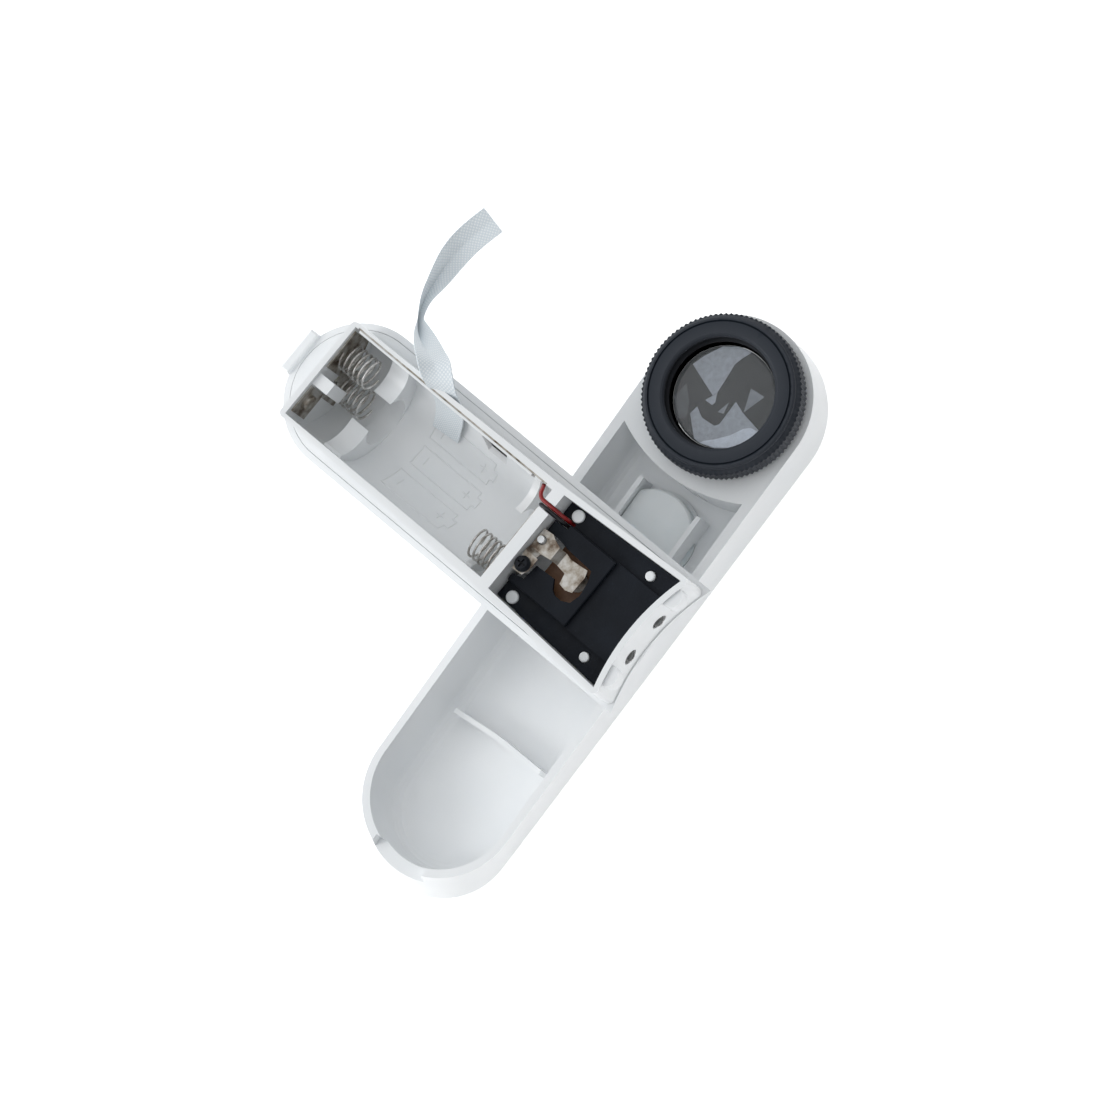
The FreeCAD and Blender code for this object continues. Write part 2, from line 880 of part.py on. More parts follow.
def upright_before(x):
    """Picks the long upright edges that lie before a place along the cartridge."""

    def test(edge):
        return edge.BoundBox.ZLength > 9 and edge.BoundBox.XMax < x

    return test


def upright_beyond(x):
    """Picks the long upright edges that lie beyond a place along the cartridge."""

    def test(edge):
        return edge.BoundBox.ZLength > 9 and edge.BoundBox.XMin > x

    return test


def add_bay_and_trough(body):
    near_half = number(dim("box_lens_half"))
    mid_half = number(dim("box_mid_half"))
    end_half = number(dim("box_end_half"))
    divider = number(dim("divider_to"))
    wall = number(dim("box_wall"))

    plate = new_sketch(body, "flange", lift=dim("cover_depth") - 1.2)
    gap = number(dim("cover_wall")) + 0.08
    half = number(dim("cover_half")) - gap
    cover_outline(plate, gap, number(dim("cover_end")) - gap, half)
    pad(body, plate, 1.2, name="flange_pad")

    bay = new_sketch(body, "bay", lift=dim("cover_depth"))
    bay_outline(bay, 0.3, divider, near_half, mid_half)
    block = pad(body, bay, dim("box_rim") - dim("cover_depth"), name="bay_pad")
    round_edges(body, block, 1.1, upright_before(0.0), "bay_corners")

    walls = new_sketch(body, "walls", lift=dim("cover_depth"))
    far = number(dim("box_end"))
    polygon(walls, [(25.0, -mid_half), (far, -end_half), (far, end_half), (25.0, mid_half)])
    run = pad(body, walls, dim("box_rim") - dim("cover_depth"), name="wall_pad")
    round_edges(body, run, 1.0, upright_beyond(far - 0.1), "end_corners")

    trough = new_sketch(body, "trough", "YZ_Plane", lift=divider - wall)
    trough_profile(trough, dim("box_end_half"), number(dim("trough_centre")) + 1.0)
    pad(body, trough, far - divider + wall, name="trough_pad")

    for side, tag in ((-1, "right"), (1, "left")):
        boss = new_sketch(body, "snap_" + tag, lift=dim("box_rim") - 4.5)
        disc(boss, -0.6, 9.6 * side, 2.2)
        pad(body, boss, 3.9, name="snap_pad_" + tag)


def hollow_bay_and_trough(body):
    rim = number(dim("box_rim"))
    wall = number(dim("box_wall"))
    divider = number(dim("divider_to"))

    inside = new_sketch(body, "inside", "YZ_Plane", lift=divider)
    trough_profile(inside, dim("trough_round"), rim + 2.0)
    length = dim("box_end") - dim("divider_to") - dim("box_wall")
    cut(body, inside, length, back=True, name="inside_cut")

    bay = new_sketch(body, "bay_inside", lift=dim("box_rim"))
    bay_outline(
        bay, 0.3 + wall, number(dim("divider_from")),
        number(dim("box_lens_half")) - wall, number(dim("box_mid_half")) - wall,
    )
    cut(body, bay, dim("box_rim") - dim("bay_floor"), name="bay_cut")

    under = new_sketch(body, "under", lift=dim("cover_depth") - 1.2)
    rectangle(under, 4.0, 27.2, -11.0, 11.0)
    cut(body, under, dim("bay_floor") - dim("cover_depth"), back=True, name="under_cut")

    lamps = new_sketch(body, "lamp_holes", "YZ_Plane", lift=-3.0)
    for side in (-1, 1):
        disc(lamps, dim("led_side") * side, dim("led_height"), dim("led_round") + 0.15)
    cut(body, lamps, 6.0, back=True, name="lamp_cut")

    notch = new_sketch(body, "notch", lift=dim("box_rim"))
    rectangle(notch, dim("divider_from") - 0.5, dim("divider_to") + 0.5, -8.6, -6.7)
    cut(body, notch, 4.9, name="notch_cut")

    slit = new_sketch(body, "wall_slit", "XZ_Plane", lift=8.0)
    low = dim("slit_low")
    high = dim("slit_high")
    polygon(
        slit,
        [
            (dim("slit_from"), low), (dim("slit_to") - 2.0, low), (dim("slit_to"), high - 0.5),
            (dim("slit_to") - 0.3, high), (dim("slit_from"), high),
        ],
    )
    cut(body, slit, 5.0, back=True, name="slit_cut")

    groove = new_sketch(body, "strip_slot", lift=dim("box_rim"))
    rectangle(groove, 32.8, 82.7, -dim("trough_round") - 0.35, -dim("trough_round") + 0.2)
    cut(body, groove, 1.5, name="strip_slot_cut")
    pocket = new_sketch(body, "strip_pocket", lift=dim("box_rim"))
    rectangle(pocket, 32.8, 35.8, -dim("trough_round") - 0.35, -dim("trough_round") + 0.2)
    cut(body, pocket, 3.9, name="strip_pocket_cut")


def cradle(body, start, thick, tag):
    """A cross wall in the trough, cut to the round of the three cells."""
    wall = new_sketch(body, "cradle_" + tag, "YZ_Plane", lift=start)
    trough_profile(wall, dim("trough_round") + 0.1, number(dim("cradle_top")))
    pad(body, wall, thick, name="cradle_pad_" + tag)
    seats = new_sketch(body, "seats_" + tag, "YZ_Plane", lift=start)
    disc(seats, 0, dim("low_cell_height"), dim("cell_round"))
    cut(body, seats, thick, back=True, name="seat_cut_" + tag)
    valley = new_sketch(body, "valley_" + tag, "YZ_Plane", lift=start)
    rectangle(valley, -2.6, 2.6, 11.6, dim("cradle_top") + 1.0)
    cut(body, valley, thick, back=True, name="valley_cut_" + tag)
    for side in (-1, 1):
        name = "seat_%s_%d" % (tag, side + 1)
        upper = new_sketch(body, name, "YZ_Plane", lift=start)
        disc(upper, dim("high_cell_side") * side, dim("high_cell_height"), dim("cell_round"))
        cut(body, upper, thick, back=True, name=name + "_cut")


def add_box_details(body):
    cradle(body, dim("rear_cradle_at"), dim("rear_cradle_thick"), "rear")
    cradle(body, dim("front_cradle_at"), dim("cradle_thick"), "front")

    lip = new_sketch(body, "strip_lip", lift=dim("box_rim") - 2.3)
    rectangle(lip, 36.4, 82.2, -dim("trough_round") - 0.05, -dim("trough_round") + 0.45)
    pad(body, lip, 2.3, name="strip_lip_pad")
    free = new_sketch(body, "strip_free", lift=dim("box_rim"))
    rectangle(free, 36.2, 82.4, -dim("trough_round") - 0.35, -dim("trough_round"))
    cut(body, free, 1.5, name="strip_free_cut")

    step = new_sketch(body, "step", lift=12.0)
    rectangle(step, 79.6, dim("box_end") - 0.9, 0.4, 3.0)
    pad(body, step, 7.6, name="step_pad")

    for side in (-1, 1):
        add_stake(body, dim("stake_near"), side, dim("stake_small_round"), "near")
        add_stake(body, dim("stake_far"), side, dim("stake_round"), "far")

    post = new_sketch(body, "screw_post", lift=dim("bay_floor") - 0.4)
    disc(post, dim("screw_x"), dim("screw_y"), 1.3)
    pad(body, post, dim("blade_high") - dim("bay_floor") + 0.4 - 0.1, name="post_pad")
    bore = new_sketch(body, "screw_bore", lift=dim("blade_high"))
    disc(bore, dim("screw_x"), dim("screw_y"), 0.7)
    cut(body, bore, 5.0, name="bore_cut")
    pin = new_sketch(body, "blade_pin", lift=dim("bay_floor") - 0.4)
    disc(pin, 27.2, -2.1, 0.7)
    pad(body, pin, dim("blade_high") - dim("bay_floor") + 1.0, name="pin_pad")


def add_stake(body, x, side, radius, tag):
    """A heat staked pin: a stem from the bay's floor and a rounded head on the plate."""
    place = "%s_%d" % (tag, side + 1)
    y = dim("stake_side") * side
    low = dim("bay_floor") - 0.4
    stem = new_sketch(body, "stake_" + place, lift=low)
    disc(stem, x, y, dim("stake_small_round"))
    pad(body, stem, dim("plate_low") - low, name="stem_" + place)
    head = new_sketch(body, "head_" + place, lift=dim("plate_low"))
    disc(head, x, y, radius + 0.25)
    cap = pad(body, head, 0.6, name="head_pad_" + place)
    rim = near_disc(number(dim("plate_low")) + 0.6, x, y)
    round_edges(body, cap, 0.35, rim, "cap_" + place)


def near_disc(height, x, y):
    """Picks the rim edges of a small disc at one height."""

    def test(edge):
        box = edge.BoundBox
        level = abs(box.ZMin - height) < 0.02 and abs(box.ZMax - height) < 0.02
        close = abs(box.Center.x - number(x)) < 0.3 and abs(box.Center.y - number(y)) < 0.3
        return level and close

    return test


def make_battery_box():
    body = new_body("battery_box")
    add_bay_and_trough(body)
    hollow_bay_and_trough(body)
    add_box_details(body)
    return node(body, "battery_box", CARTRIDGE)


# ---------------------------------------------------------------------------
# Cartridge: contacts and springs
# ---------------------------------------------------------------------------


def sheet_piece(label, plane, lift, points, thick, back=False):
    """A flat metal piece from its outline."""
    body = new_body(label)
    sketch = new_sketch(body, "outline", plane, lift=lift)
    polygon(sketch, points)
    pad(body, sketch, thick, back=back, name="sheet")
    return node(body, label, CARTRIDGE)


def make_plates():
    metal = dim("metal")
    end = dim("box_end") - dim("box_wall") - metal
    points = [
        (-10.0, 11.5), (-4.2, 7.2), (-4.2, 4.6), (4.2, 4.6),
        (4.2, 11.6), (-1.2, 11.6), (-1.2, 19.6), (-10.0, 19.6),
    ]
    sheet_piece("spring_plate", "YZ_Plane", end, points, metal)
    points = [
        (-9.8, 12.6), (9.8, 12.6), (9.8, 20.2), (-6.3, 20.2), (-6.3, 16.2), (-9.8, 16.2),
    ]
    sheet_piece("divider_plate", "YZ_Plane", dim("divider_to"), points, metal)
    points = [
        (33.0, 17.0), (35.6, 17.0), (35.6, 19.3), (82.5, 19.3), (82.5, 20.5), (33.0, 20.5),
    ]
    sheet_piece("bus_strip", "XZ_Plane", dim("trough_round") + 0.03, points, metal)


def make_nipple_contact():
    """The plate that meets a cell's cap, with a raised round boss."""
    body = new_body("nipple_contact")
    metal = dim("metal")
    end = dim("box_end") - dim("box_wall") - metal
    plate = new_sketch(body, "plate", "YZ_Plane", lift=end)
    rectangle(plate, 3.4, 9.6, 12.0, 19.4)
    pad(body, plate, metal, name="plate_pad")
    boss = new_sketch(body, "boss", "YZ_Plane", lift=end)
    disc(boss, 6.4, 16.0, 1.7)
    raised = pad(body, boss, 0.9, back=True, name="boss_pad")
    face = number(end) - 0.9

    def front(edge):
        box = edge.BoundBox
        return abs(box.XMin - face) < 0.02 and abs(box.XMax - face) < 0.02

    round_edges(body, raised, 0.45, front, "boss_round")
    return node(body, "nipple_contact", CARTRIDGE)


def cone_spring(label, foot, side, height, towards):
    """A conical wire spring along the cartridge, wide where it meets its plate."""
    wide = number(dim("spring_big"))
    narrow = number(dim("spring_small"))
    long = number(dim("spring_long"))
    turns = number(dim("spring_turns"))
    wire = number(dim("spring_wire"))
    angle = math.degrees(math.atan2(wide - narrow, long))
    path = Part.makeHelix(long / turns, long, wide, -angle)
    start = path.Edges[0].valueAt(path.Edges[0].FirstParameter)
    tangent = path.Edges[0].tangentAt(path.Edges[0].FirstParameter)
    ring = Part.Wire([Part.makeCircle(wire, start, tangent)])
    spring = doc.addObject("Part::Feature", label + "_coil")
    spring.Shape = Part.Wire(path.Edges).makePipeShell([ring], True, True)
    spot = Vector(number(foot) + (wire + 0.02) * towards, side, height)
    facing = Rotation(Vector(0, 0, 1), 180 if towards > 0 else 0)
    place = Placement(spot, facing.multiply(Rotation(Vector(0, 1, 0), -90)))
    return node(spring, label, CARTRIDGE.multiply(place))


def make_springs():
    end = dim("box_end") - dim("box_wall") - dim("metal")
    cone_spring("spring_a", end, -5.4, 15.3, -1)
    cone_spring("spring_b", end, 0.0, 7.9, -1)
    cone_spring("spring_c", dim("divider_to") + dim("metal"), 6.2, 15.3, 1)


# ---------------------------------------------------------------------------
# Cartridge: switch bay
# ---------------------------------------------------------------------------


def make_switch_plate():
    """The black moulding over the bay, stepped up twice, with a hooked opening."""
    body = new_body("switch_plate")
    low = dim("plate_low") - dim("plate_thick")
    wall = number(dim("box_wall")) + 0.15
    flange = new_sketch(body, "flange", lift=low)
    bay_outline(
        flange, 0.3 + wall, number(dim("divider_from")) - 0.15,
        number(dim("box_lens_half")) - wall, number(dim("box_mid_half")) - wall,
    )
    pad(body, flange, dim("plate_thick"), name="flange_pad")
    step_x = dim("plate_raised_from")
    half = dim("plate_raised_half")
    middle = new_sketch(body, "middle", lift=low)
    bay_outline(middle, 0.3 + wall, number(step_x) + 0.5, 8.0, 8.0)
    pad(body, middle, dim("plate_mid") - low, name="middle_pad")
    raised = new_sketch(body, "raised", lift=low)
    rectangle(raised, step_x, dim("divider_from") - 0.4, -half, half)
    block = pad(body, raised, dim("plate_high") - low, name="raised_pad")
    round_edges(body, block, 0.3, flat_at(number(dim("plate_high"))), "raised_round")

    hollow = new_sketch(body, "hollow", lift=low)
    rectangle(hollow, step_x + 0.9, dim("divider_from") + 1.0, -half + 0.9, half - 0.9)
    cut(body, hollow, dim("plate_high") - dim("plate_thick") - low, back=True, name="hollow_cut")
    lamps = new_sketch(body, "lamp_room", lift=low)
    rectangle(lamps, 0.0, step_x - 0.8, -6.8, 6.8)
    cut(body, lamps, dim("plate_mid") - 0.4 - low, back=True, name="lamp_cut")

    hook = new_sketch(body, "hook", lift=dim("plate_high") + 1.0)
    polygon(
        hook,
        [
            (29.6, -4.0), (25.3, -4.3), (22.1, -3.8), (16.0, -3.5), (15.1, -1.3),
            (14.7, 1.6), (15.3, 3.7), (17.0, 4.5), (18.7, 4.5), (19.7, 3.9),
            (20.9, 2.1), (25.2, 2.3), (25.6, 5.8), (29.6, 6.5),
        ],
    )
    cut(body, hook, 5.0, name="hook_cut")
    holes = new_sketch(body, "stake_holes", lift=dim("plate_high") + 1.0)
    for x in (dim("stake_near"), dim("stake_far")):
        for side in (-1, 1):
            disc(holes, x, dim("stake_side") * side, dim("stake_round") + 0.1)
    cut(body, holes, 5.0, name="stake_cut")
    wires = new_sketch(body, "wire_gap", lift=dim("plate_high") + 1.0)
    rectangle(wires, 25.0, 29.6, -8.5, -6.65)
    cut(body, wires, 5.0, name="wire_cut")
    return node(body, "switch_plate", CARTRIDGE)


def make_insulator_board():
    body = new_body("insulator_board")
    sketch = new_sketch(body, "board", lift=dim("bay_floor"))
    rectangle(sketch, 11.5, 24.6, -5.7, 6.2)
    pad(body, sketch, 1.0, name="board_pad")
    return node(body, "insulator_board", CARTRIDGE)


def make_fixed_contact():
    """The pad under the blade's tip: a strip on the board with a domed post."""
    body = new_body("fixed_contact")
    top = dim("blade_low") - 0.55
    revolve(
        body,
        [
            (0, dim("bay_floor") + 1.0),
            (2.0, dim("bay_floor") + 1.0),
            (2.0, dim("bay_floor") + 1.3),
            (1.1, dim("bay_floor") + 1.3),
            (1.1, top - 0.3),
            (0.7, top),
            (0, top),
        ],
        "post",
    )
    turned = CARTRIDGE.multiply(Placement(Vector(18.0, -0.2, 0), Rotation()))
    return node(body, "fixed_contact", turned)


def blade_part(points, low, thick):
    face = Part.Face(Part.makePolygon([Vector(x, y, low) for x, y in points + points[:1]]))
    return face.extrude(Vector(0, 0, thick))


def slope_part(profile, sweep):
    """A short slanted web: its side profile swept straight across."""
    corners = [Vector(*point) for point in profile]
    return Part.Face(Part.makePolygon(corners + corners[:1])).extrude(Vector(*sweep))


def make_contact_blade():
    """The bent nickel blade: a screw pad, a step down to the web, and a lower tip."""
    thick = number(dim("metal"))
    high = number(dim("blade_high"))
    middle = high - 0.7
    low = number(dim("blade_low"))
    pad_shape = [(25.2, 1.2), (25.1, 4.0), (25.8, 5.4), (28.2, 5.6), (28.4, 1.2)]
    web_shape = [
        (28.4, 0.1), (28.4, -4.1), (26.1, -4.3), (25.3, -3.8), (23.4, -3.1), (23.4, -0.2),
        (25.6, 0.1),
    ]
    tip_shape = [
        (22.2, -3.1), (20.8, -2.7), (16.8, -3.1), (16.3, -1.7), (16.4, 2.0), (17.9, 2.5),
        (19.5, 2.2), (20.0, 0.1), (22.2, -0.2),
    ]
    upper_web = [
        (25.6, 1.2, high), (25.6, 1.2, high + thick),
        (25.6, 0.1, middle + thick), (25.6, 0.1, middle),
    ]
    lower_web = [
        (23.4, -3.1, middle), (23.4, -3.1, middle + thick),
        (22.2, -3.1, low + thick), (22.2, -3.1, low),
    ]
    pieces = [
        blade_part(pad_shape, high, thick),
        slope_part(upper_web, (2.8, 0, 0)),
        blade_part(web_shape, middle, thick),
        slope_part(lower_web, (0, 2.9, 0)),
        blade_part(tip_shape, low, thick),
    ]
    solid = pieces[0].fuse(pieces[1:])
    screw = Vector(number(dim("screw_x")), number(dim("screw_y")), middle - 2)
    solid = solid.cut(Part.makeCylinder(1.0, 5.0, screw))
    solid = solid.cut(Part.makeCylinder(0.9, 5.0, Vector(27.2, -2.1, middle - 2)))
    blade = doc.addObject("Part::Feature", "contact_blade_solid")
    blade.Shape = solid.removeSplitter()
    return node(blade, "contact_blade", CARTRIDGE)


def make_blade_screw():
    """A pan head screw with a cross recess."""
    body = new_body("blade_screw")
    seat = dim("blade_high") + dim("metal") + 0.15
    radius = dim("screw_head")
    revolve(
        body,
        [
            (0, seat - 3.8),
            (0.4, seat - 3.8),
            (0.65, seat - 3.3),
            (0.65, seat),
            (radius, seat),
            (radius, seat + 0.35),
            (radius - 0.5, seat + 0.95),
            (0, seat + 1.1),
        ],
        "screw",
    )
    recess = new_sketch(body, "recess", lift=seat + 1.1)
    polygon(
        recess,
        [
            (-0.9, -0.17), (-0.17, -0.17), (-0.17, -0.9), (0.17, -0.9), (0.17, -0.17),
            (0.9, -0.17), (0.9, 0.17), (0.17, 0.17), (0.17, 0.9), (-0.17, 0.9),
            (-0.17, 0.17), (-0.9, 0.17),
        ],
    )
    cut(body, recess, 0.7, name="recess_cut")
    place = Placement(Vector(number(dim("screw_x")), number(dim("screw_y")), 0), Rotation())
    return node(body, "blade_screw", CARTRIDGE.multiply(place))


def make_led(label, side):
    """A small round lamp that looks out through the concave end, with its collar and leads."""
    body = new_body(label)
    radius = dim("led_round")
    sketch = new_sketch(body, "section", "XZ_Plane")
    reach = number(radius)
    collar = 0.15
    edges = [
        arc(0, 0, reach, 0, 90),
        line(0, reach, -3.8, reach),
        line(-3.8, reach, -3.8, reach + collar),
        line(-3.8, reach + collar, -4.6, reach + collar),
        line(-4.6, reach + collar, -4.6, 0),
        line(-4.6, 0, reach, 0),
    ]
    outline(sketch, edges)
    held_radius(sketch, 0, radius)
    feature = body.newObject("PartDesign::Revolution", body.Name + "_lamp")
    feature.Profile = sketch
    feature.ReferenceAxis = (sketch, ["H_Axis"])
    feature.Angle = 360.0
    doc.recompute()
    for place, tag in ((-0.65, "a"), (0.65, "b")):
        leads = new_sketch(body, "lead_" + tag, "YZ_Plane", lift=-4.5)
        rectangle(leads, place - 0.22, place + 0.22, -0.22, 0.22)
        pad(body, leads, 1.6, back=True, name="lead_pad_" + tag)
    spot = Vector(1.0, number(dim("led_side")) * side, number(dim("led_height")))
    place = Placement(spot, Rotation(Vector(0, 0, 1), 180))
    return node(body, label, CARTRIDGE.multiply(place))


# ---------------------------------------------------------------------------
# Wires and ribbon
# ---------------------------------------------------------------------------

RED_ROUTE = [
    (7.1, -4.95, 13.9), (8.6, -4.95, 13.9), (9.9, -7.7, 13.0), (13.5, -8.05, 12.8),
    (19.0, -8.05, 12.8), (26.2, -8.05, 13.2), (26.5, -8.05, 16.75), (33.8, -8.05, 16.75),
    (34.1, -10.5, 18.0),
]
BLACK_ROUTE = [
    (7.1, 3.65, 13.9), (8.7, 3.65, 13.9), (10.2, 1.0, 14.4), (10.4, -4.0, 14.2),
    (11.7, -7.0, 13.0), (16.0, -7.15, 12.8), (20.0, -7.15, 12.9), (26.2, -7.15, 13.2),
    (26.5, -7.15, 16.75), (32.8, -7.15, 16.75), (32.9, -7.15, 14.4), (31.5, -7.15, 14.4),
]
RIBBON_ROUTE = [
    (-37.0, 40.9, 19.3), (-33.4, 40.7, 23.6), (-32.7, 41.4, 30.0), (-33.2, 42.2, 38.3),
    (-28.4, 44.2, 38.6), (-25.7, 49.0, 33.4), (-23.6, 55.9, 24.2), (-22.6, 60.2, 16.5),
    (-18.4, 65.3, 8.0), (-13.3, 67.3, 4.0), (-7.9, 68.1, 2.4), (-2.3, 67.8, 1.3),
    (2.7, 66.4, 0.6),
]


def bent_path(points):
    """Straight runs joined by tangent arcs, each as large as its two runs allow."""
    spots = [Vector(*point) for point in points]
    edges = []
    radii = []
    last = spots[0]
    for before, corner, after in zip(spots, spots[1:], spots[2:]):
        back = before - corner
        onward = after - corner
        reach = 0.45 * min(back.Length, onward.Length)
        turn = math.pi - back.getAngle(onward)
        radii.append(reach / math.tan(turn / 2))
        back.normalize()
        onward.normalize()
        first = corner + back * reach
        second = corner + onward * reach
        inward = back + onward
        inward.normalize()
        centre = corner + inward * (reach / math.cos(back.getAngle(inward)))
        middle = centre - inward * radii[-1]
        edges.append(Part.LineSegment(last, first).toShape())
        edges.append(Part.Arc(first, middle, second).toShape())
        last = second
    edges.append(Part.LineSegment(last, spots[-1]).toShape())
    return Part.Wire(edges), radii


def tube(label, points, radius, place):
    path, radii = bent_path(points)
    start = Vector(*points[0])
    ring = Part.Wire([Part.makeCircle(radius, start, Vector(*points[1]) - start)])
    solid = path.makePipeShell([ring], True, False)
    section = math.pi * radius**2 * path.Length
    print(
        "%s: length %.1f, volume ratio %.4f, radii %s"
        % (label, path.Length, solid.Volume / section, [round(r, 1) for r in radii])
    )
    thing = doc.addObject("Part::Feature", label + "_tube")
    thing.Shape = solid
    return node(thing, label, place)


def make_wires_and_ribbon():
    tube("red_wire", RED_ROUTE, number(dim("wire_round")), CARTRIDGE)
    tube("black_wire", BLACK_ROUTE, number(dim("wire_round")), CARTRIDGE)
    tube("pull_ribbon", RIBBON_ROUTE, number(dim("ribbon_tube")) / 2, HOME)


# ---------------------------------------------------------------------------
# Assembly
# ---------------------------------------------------------------------------


def check_and_write():
    doc.recompute()
    for thing in doc.Objects:
        if "Invalid" in thing.State or "Error" in thing.State:
            raise RuntimeError("%s failed: %s" % (thing.Name, thing.State))
    for thing in NODES:
        if thing.Shape.isNull() or not thing.Shape.isValid():
            raise RuntimeError("%s has no valid shape" % thing.Label)
    os.makedirs("parts", exist_ok=True)
    for thing in NODES:
        thing.Shape.exportStep("parts/%s.step" % thing.Label)
        solids = len(thing.Shape.Solids)
        print("%-18s solids %d  volume %.1f" % (thing.Label, solids, thing.Shape.Volume))


make_housing()
make_button()
make_lens_head()
make_outer_cover()
make_battery_box()
make_plates()
make_nipple_contact()
make_springs()
make_switch_plate()
make_insulator_board()
make_fixed_contact()
make_contact_blade()
make_blade_screw()
make_led("led_left", 1)
make_led("led_right", -1)
make_wires_and_ribbon()
check_and_write()
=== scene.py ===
"""Looks for the opened pocket magnifier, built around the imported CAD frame.

Blender's unit is the metre, in the frame of the CAD model: +X along the housing towards the lens,
+Z up along the lens axis.  The cartridge has a frame of its own: along it, across it and up.
Values in millimetres are turned into metres by MM.
"""

import math

import bmesh
import bpy
from mathutils import Matrix, Vector


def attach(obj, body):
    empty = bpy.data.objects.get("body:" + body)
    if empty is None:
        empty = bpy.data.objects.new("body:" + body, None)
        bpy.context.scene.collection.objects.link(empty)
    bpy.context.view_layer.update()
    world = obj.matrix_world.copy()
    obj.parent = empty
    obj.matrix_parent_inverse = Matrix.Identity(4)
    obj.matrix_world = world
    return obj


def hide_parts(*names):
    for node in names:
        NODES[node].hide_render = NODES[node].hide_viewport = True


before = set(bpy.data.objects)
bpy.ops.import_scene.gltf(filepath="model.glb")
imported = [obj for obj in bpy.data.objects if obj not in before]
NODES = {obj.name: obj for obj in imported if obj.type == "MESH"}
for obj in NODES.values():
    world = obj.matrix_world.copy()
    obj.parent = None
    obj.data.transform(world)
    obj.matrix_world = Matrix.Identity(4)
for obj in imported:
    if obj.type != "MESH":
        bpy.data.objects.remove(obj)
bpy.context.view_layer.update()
MM = 0.001

# ---------------------------------------------------------------------------
# Named places
# ---------------------------------------------------------------------------

CART_TURN = math.radians(86.33)
CART_ORIGIN = Vector((-46.5, -19.8, 14.3)) * MM
CART = Matrix.Translation(CART_ORIGIN) @ Matrix.Rotation(CART_TURN, 4, "Z")
# Height and radius of the trough's round floor, in millimetres in the cartridge's frame.
TROUGH_CENTRE = 13.0
TROUGH_ROUND = 10.7

RIBBON_WIDTH = 6.2 * MM
RIBBON_THICK = 0.32 * MM
# Control points from the slot to the free end; near the slot they leave the CAD tube a little.
RIBBON_ROUTE = [
    (-0.0370, 0.0409, 0.0193), (-0.0340, 0.0402, 0.0240), (-0.0318, 0.0398, 0.0305),
    (-0.0305, 0.0405, 0.0362), (-0.0275, 0.0440, 0.0376), (-0.0257, 0.0490, 0.0334),
    (-0.0236, 0.0559, 0.0242), (-0.0226, 0.0602, 0.0165), (-0.0184, 0.0653, 0.0080),
    (-0.0133, 0.0673, 0.0040), (-0.0079, 0.0681, 0.0024), (-0.0023, 0.0678, 0.0013),
    (0.0027, 0.0664, 0.0006),
]
# The way the ribbon's width points at each of those places.
RIBBON_LEAN = [
    (0.06, 1.00, 0.00), (-0.15, 1.00, 0.00), (-0.25, 0.97, 0.00), (-0.30, 0.95, 0.00),
    (-0.38, 0.92, 0.00), (-0.45, 0.85, 0.25), (-0.40, 0.80, 0.45), (-0.35, 0.70, 0.60),
    (-0.30, 0.70, 0.65), (-0.20, 0.75, 0.60), (0.00, 0.85, 0.40), (0.15, 0.95, 0.20),
    (0.30, 0.95, 0.05),
]
LEAN_PASSES = 60
# A lengthwise crease, which is a guess, makes the ribbon narrow: the crease's share of the way,
# how far it reaches towards the slot and towards the free end, and its angle.
CREASE_AT = 0.56
CREASE_BACK = 0.15
CREASE_ON = 0.28
CREASE_ANGLE = math.radians(78.0)

# Edges sharper than these stay sharp, in degrees.
CAD_SHARP_ANGLE = 32.0
RIBBON_SHARP_ANGLE = 50.0


def on_cartridge(along, across, up):
    return CART @ (Vector((along, across, up)) * MM)


# ---------------------------------------------------------------------------
# Camera
# ---------------------------------------------------------------------------


def make_camera():
    """A long lens, 70 degrees above the table, rolled so that the housing stands slanted."""
    elevation = math.radians(70.0)
    roll = math.radians(54.1)
    distance = 1.5
    target = Vector((-43.3, 16.6, 0.0)) * MM
    towards = Vector((0.0, -math.cos(elevation), math.sin(elevation)))
    level = Vector((1.0, 0.0, 0.0))
    upright = towards.cross(level)
    right = level * math.cos(roll) - upright * math.sin(roll)
    up = level * math.sin(roll) + upright * math.cos(roll)
    data = bpy.data.cameras.new("camera")
    data.sensor_width = 36.0
    data.lens = 252.8
    data.clip_end = 20.0
    camera = bpy.data.objects.new("camera", data)
    bpy.context.scene.collection.objects.link(camera)
    turn = Matrix((right, up, towards)).transposed().to_4x4()
    camera.matrix_world = Matrix.Translation(target + towards * distance) @ turn
    bpy.context.scene.camera = camera


# ---------------------------------------------------------------------------
# Material helpers
# ---------------------------------------------------------------------------


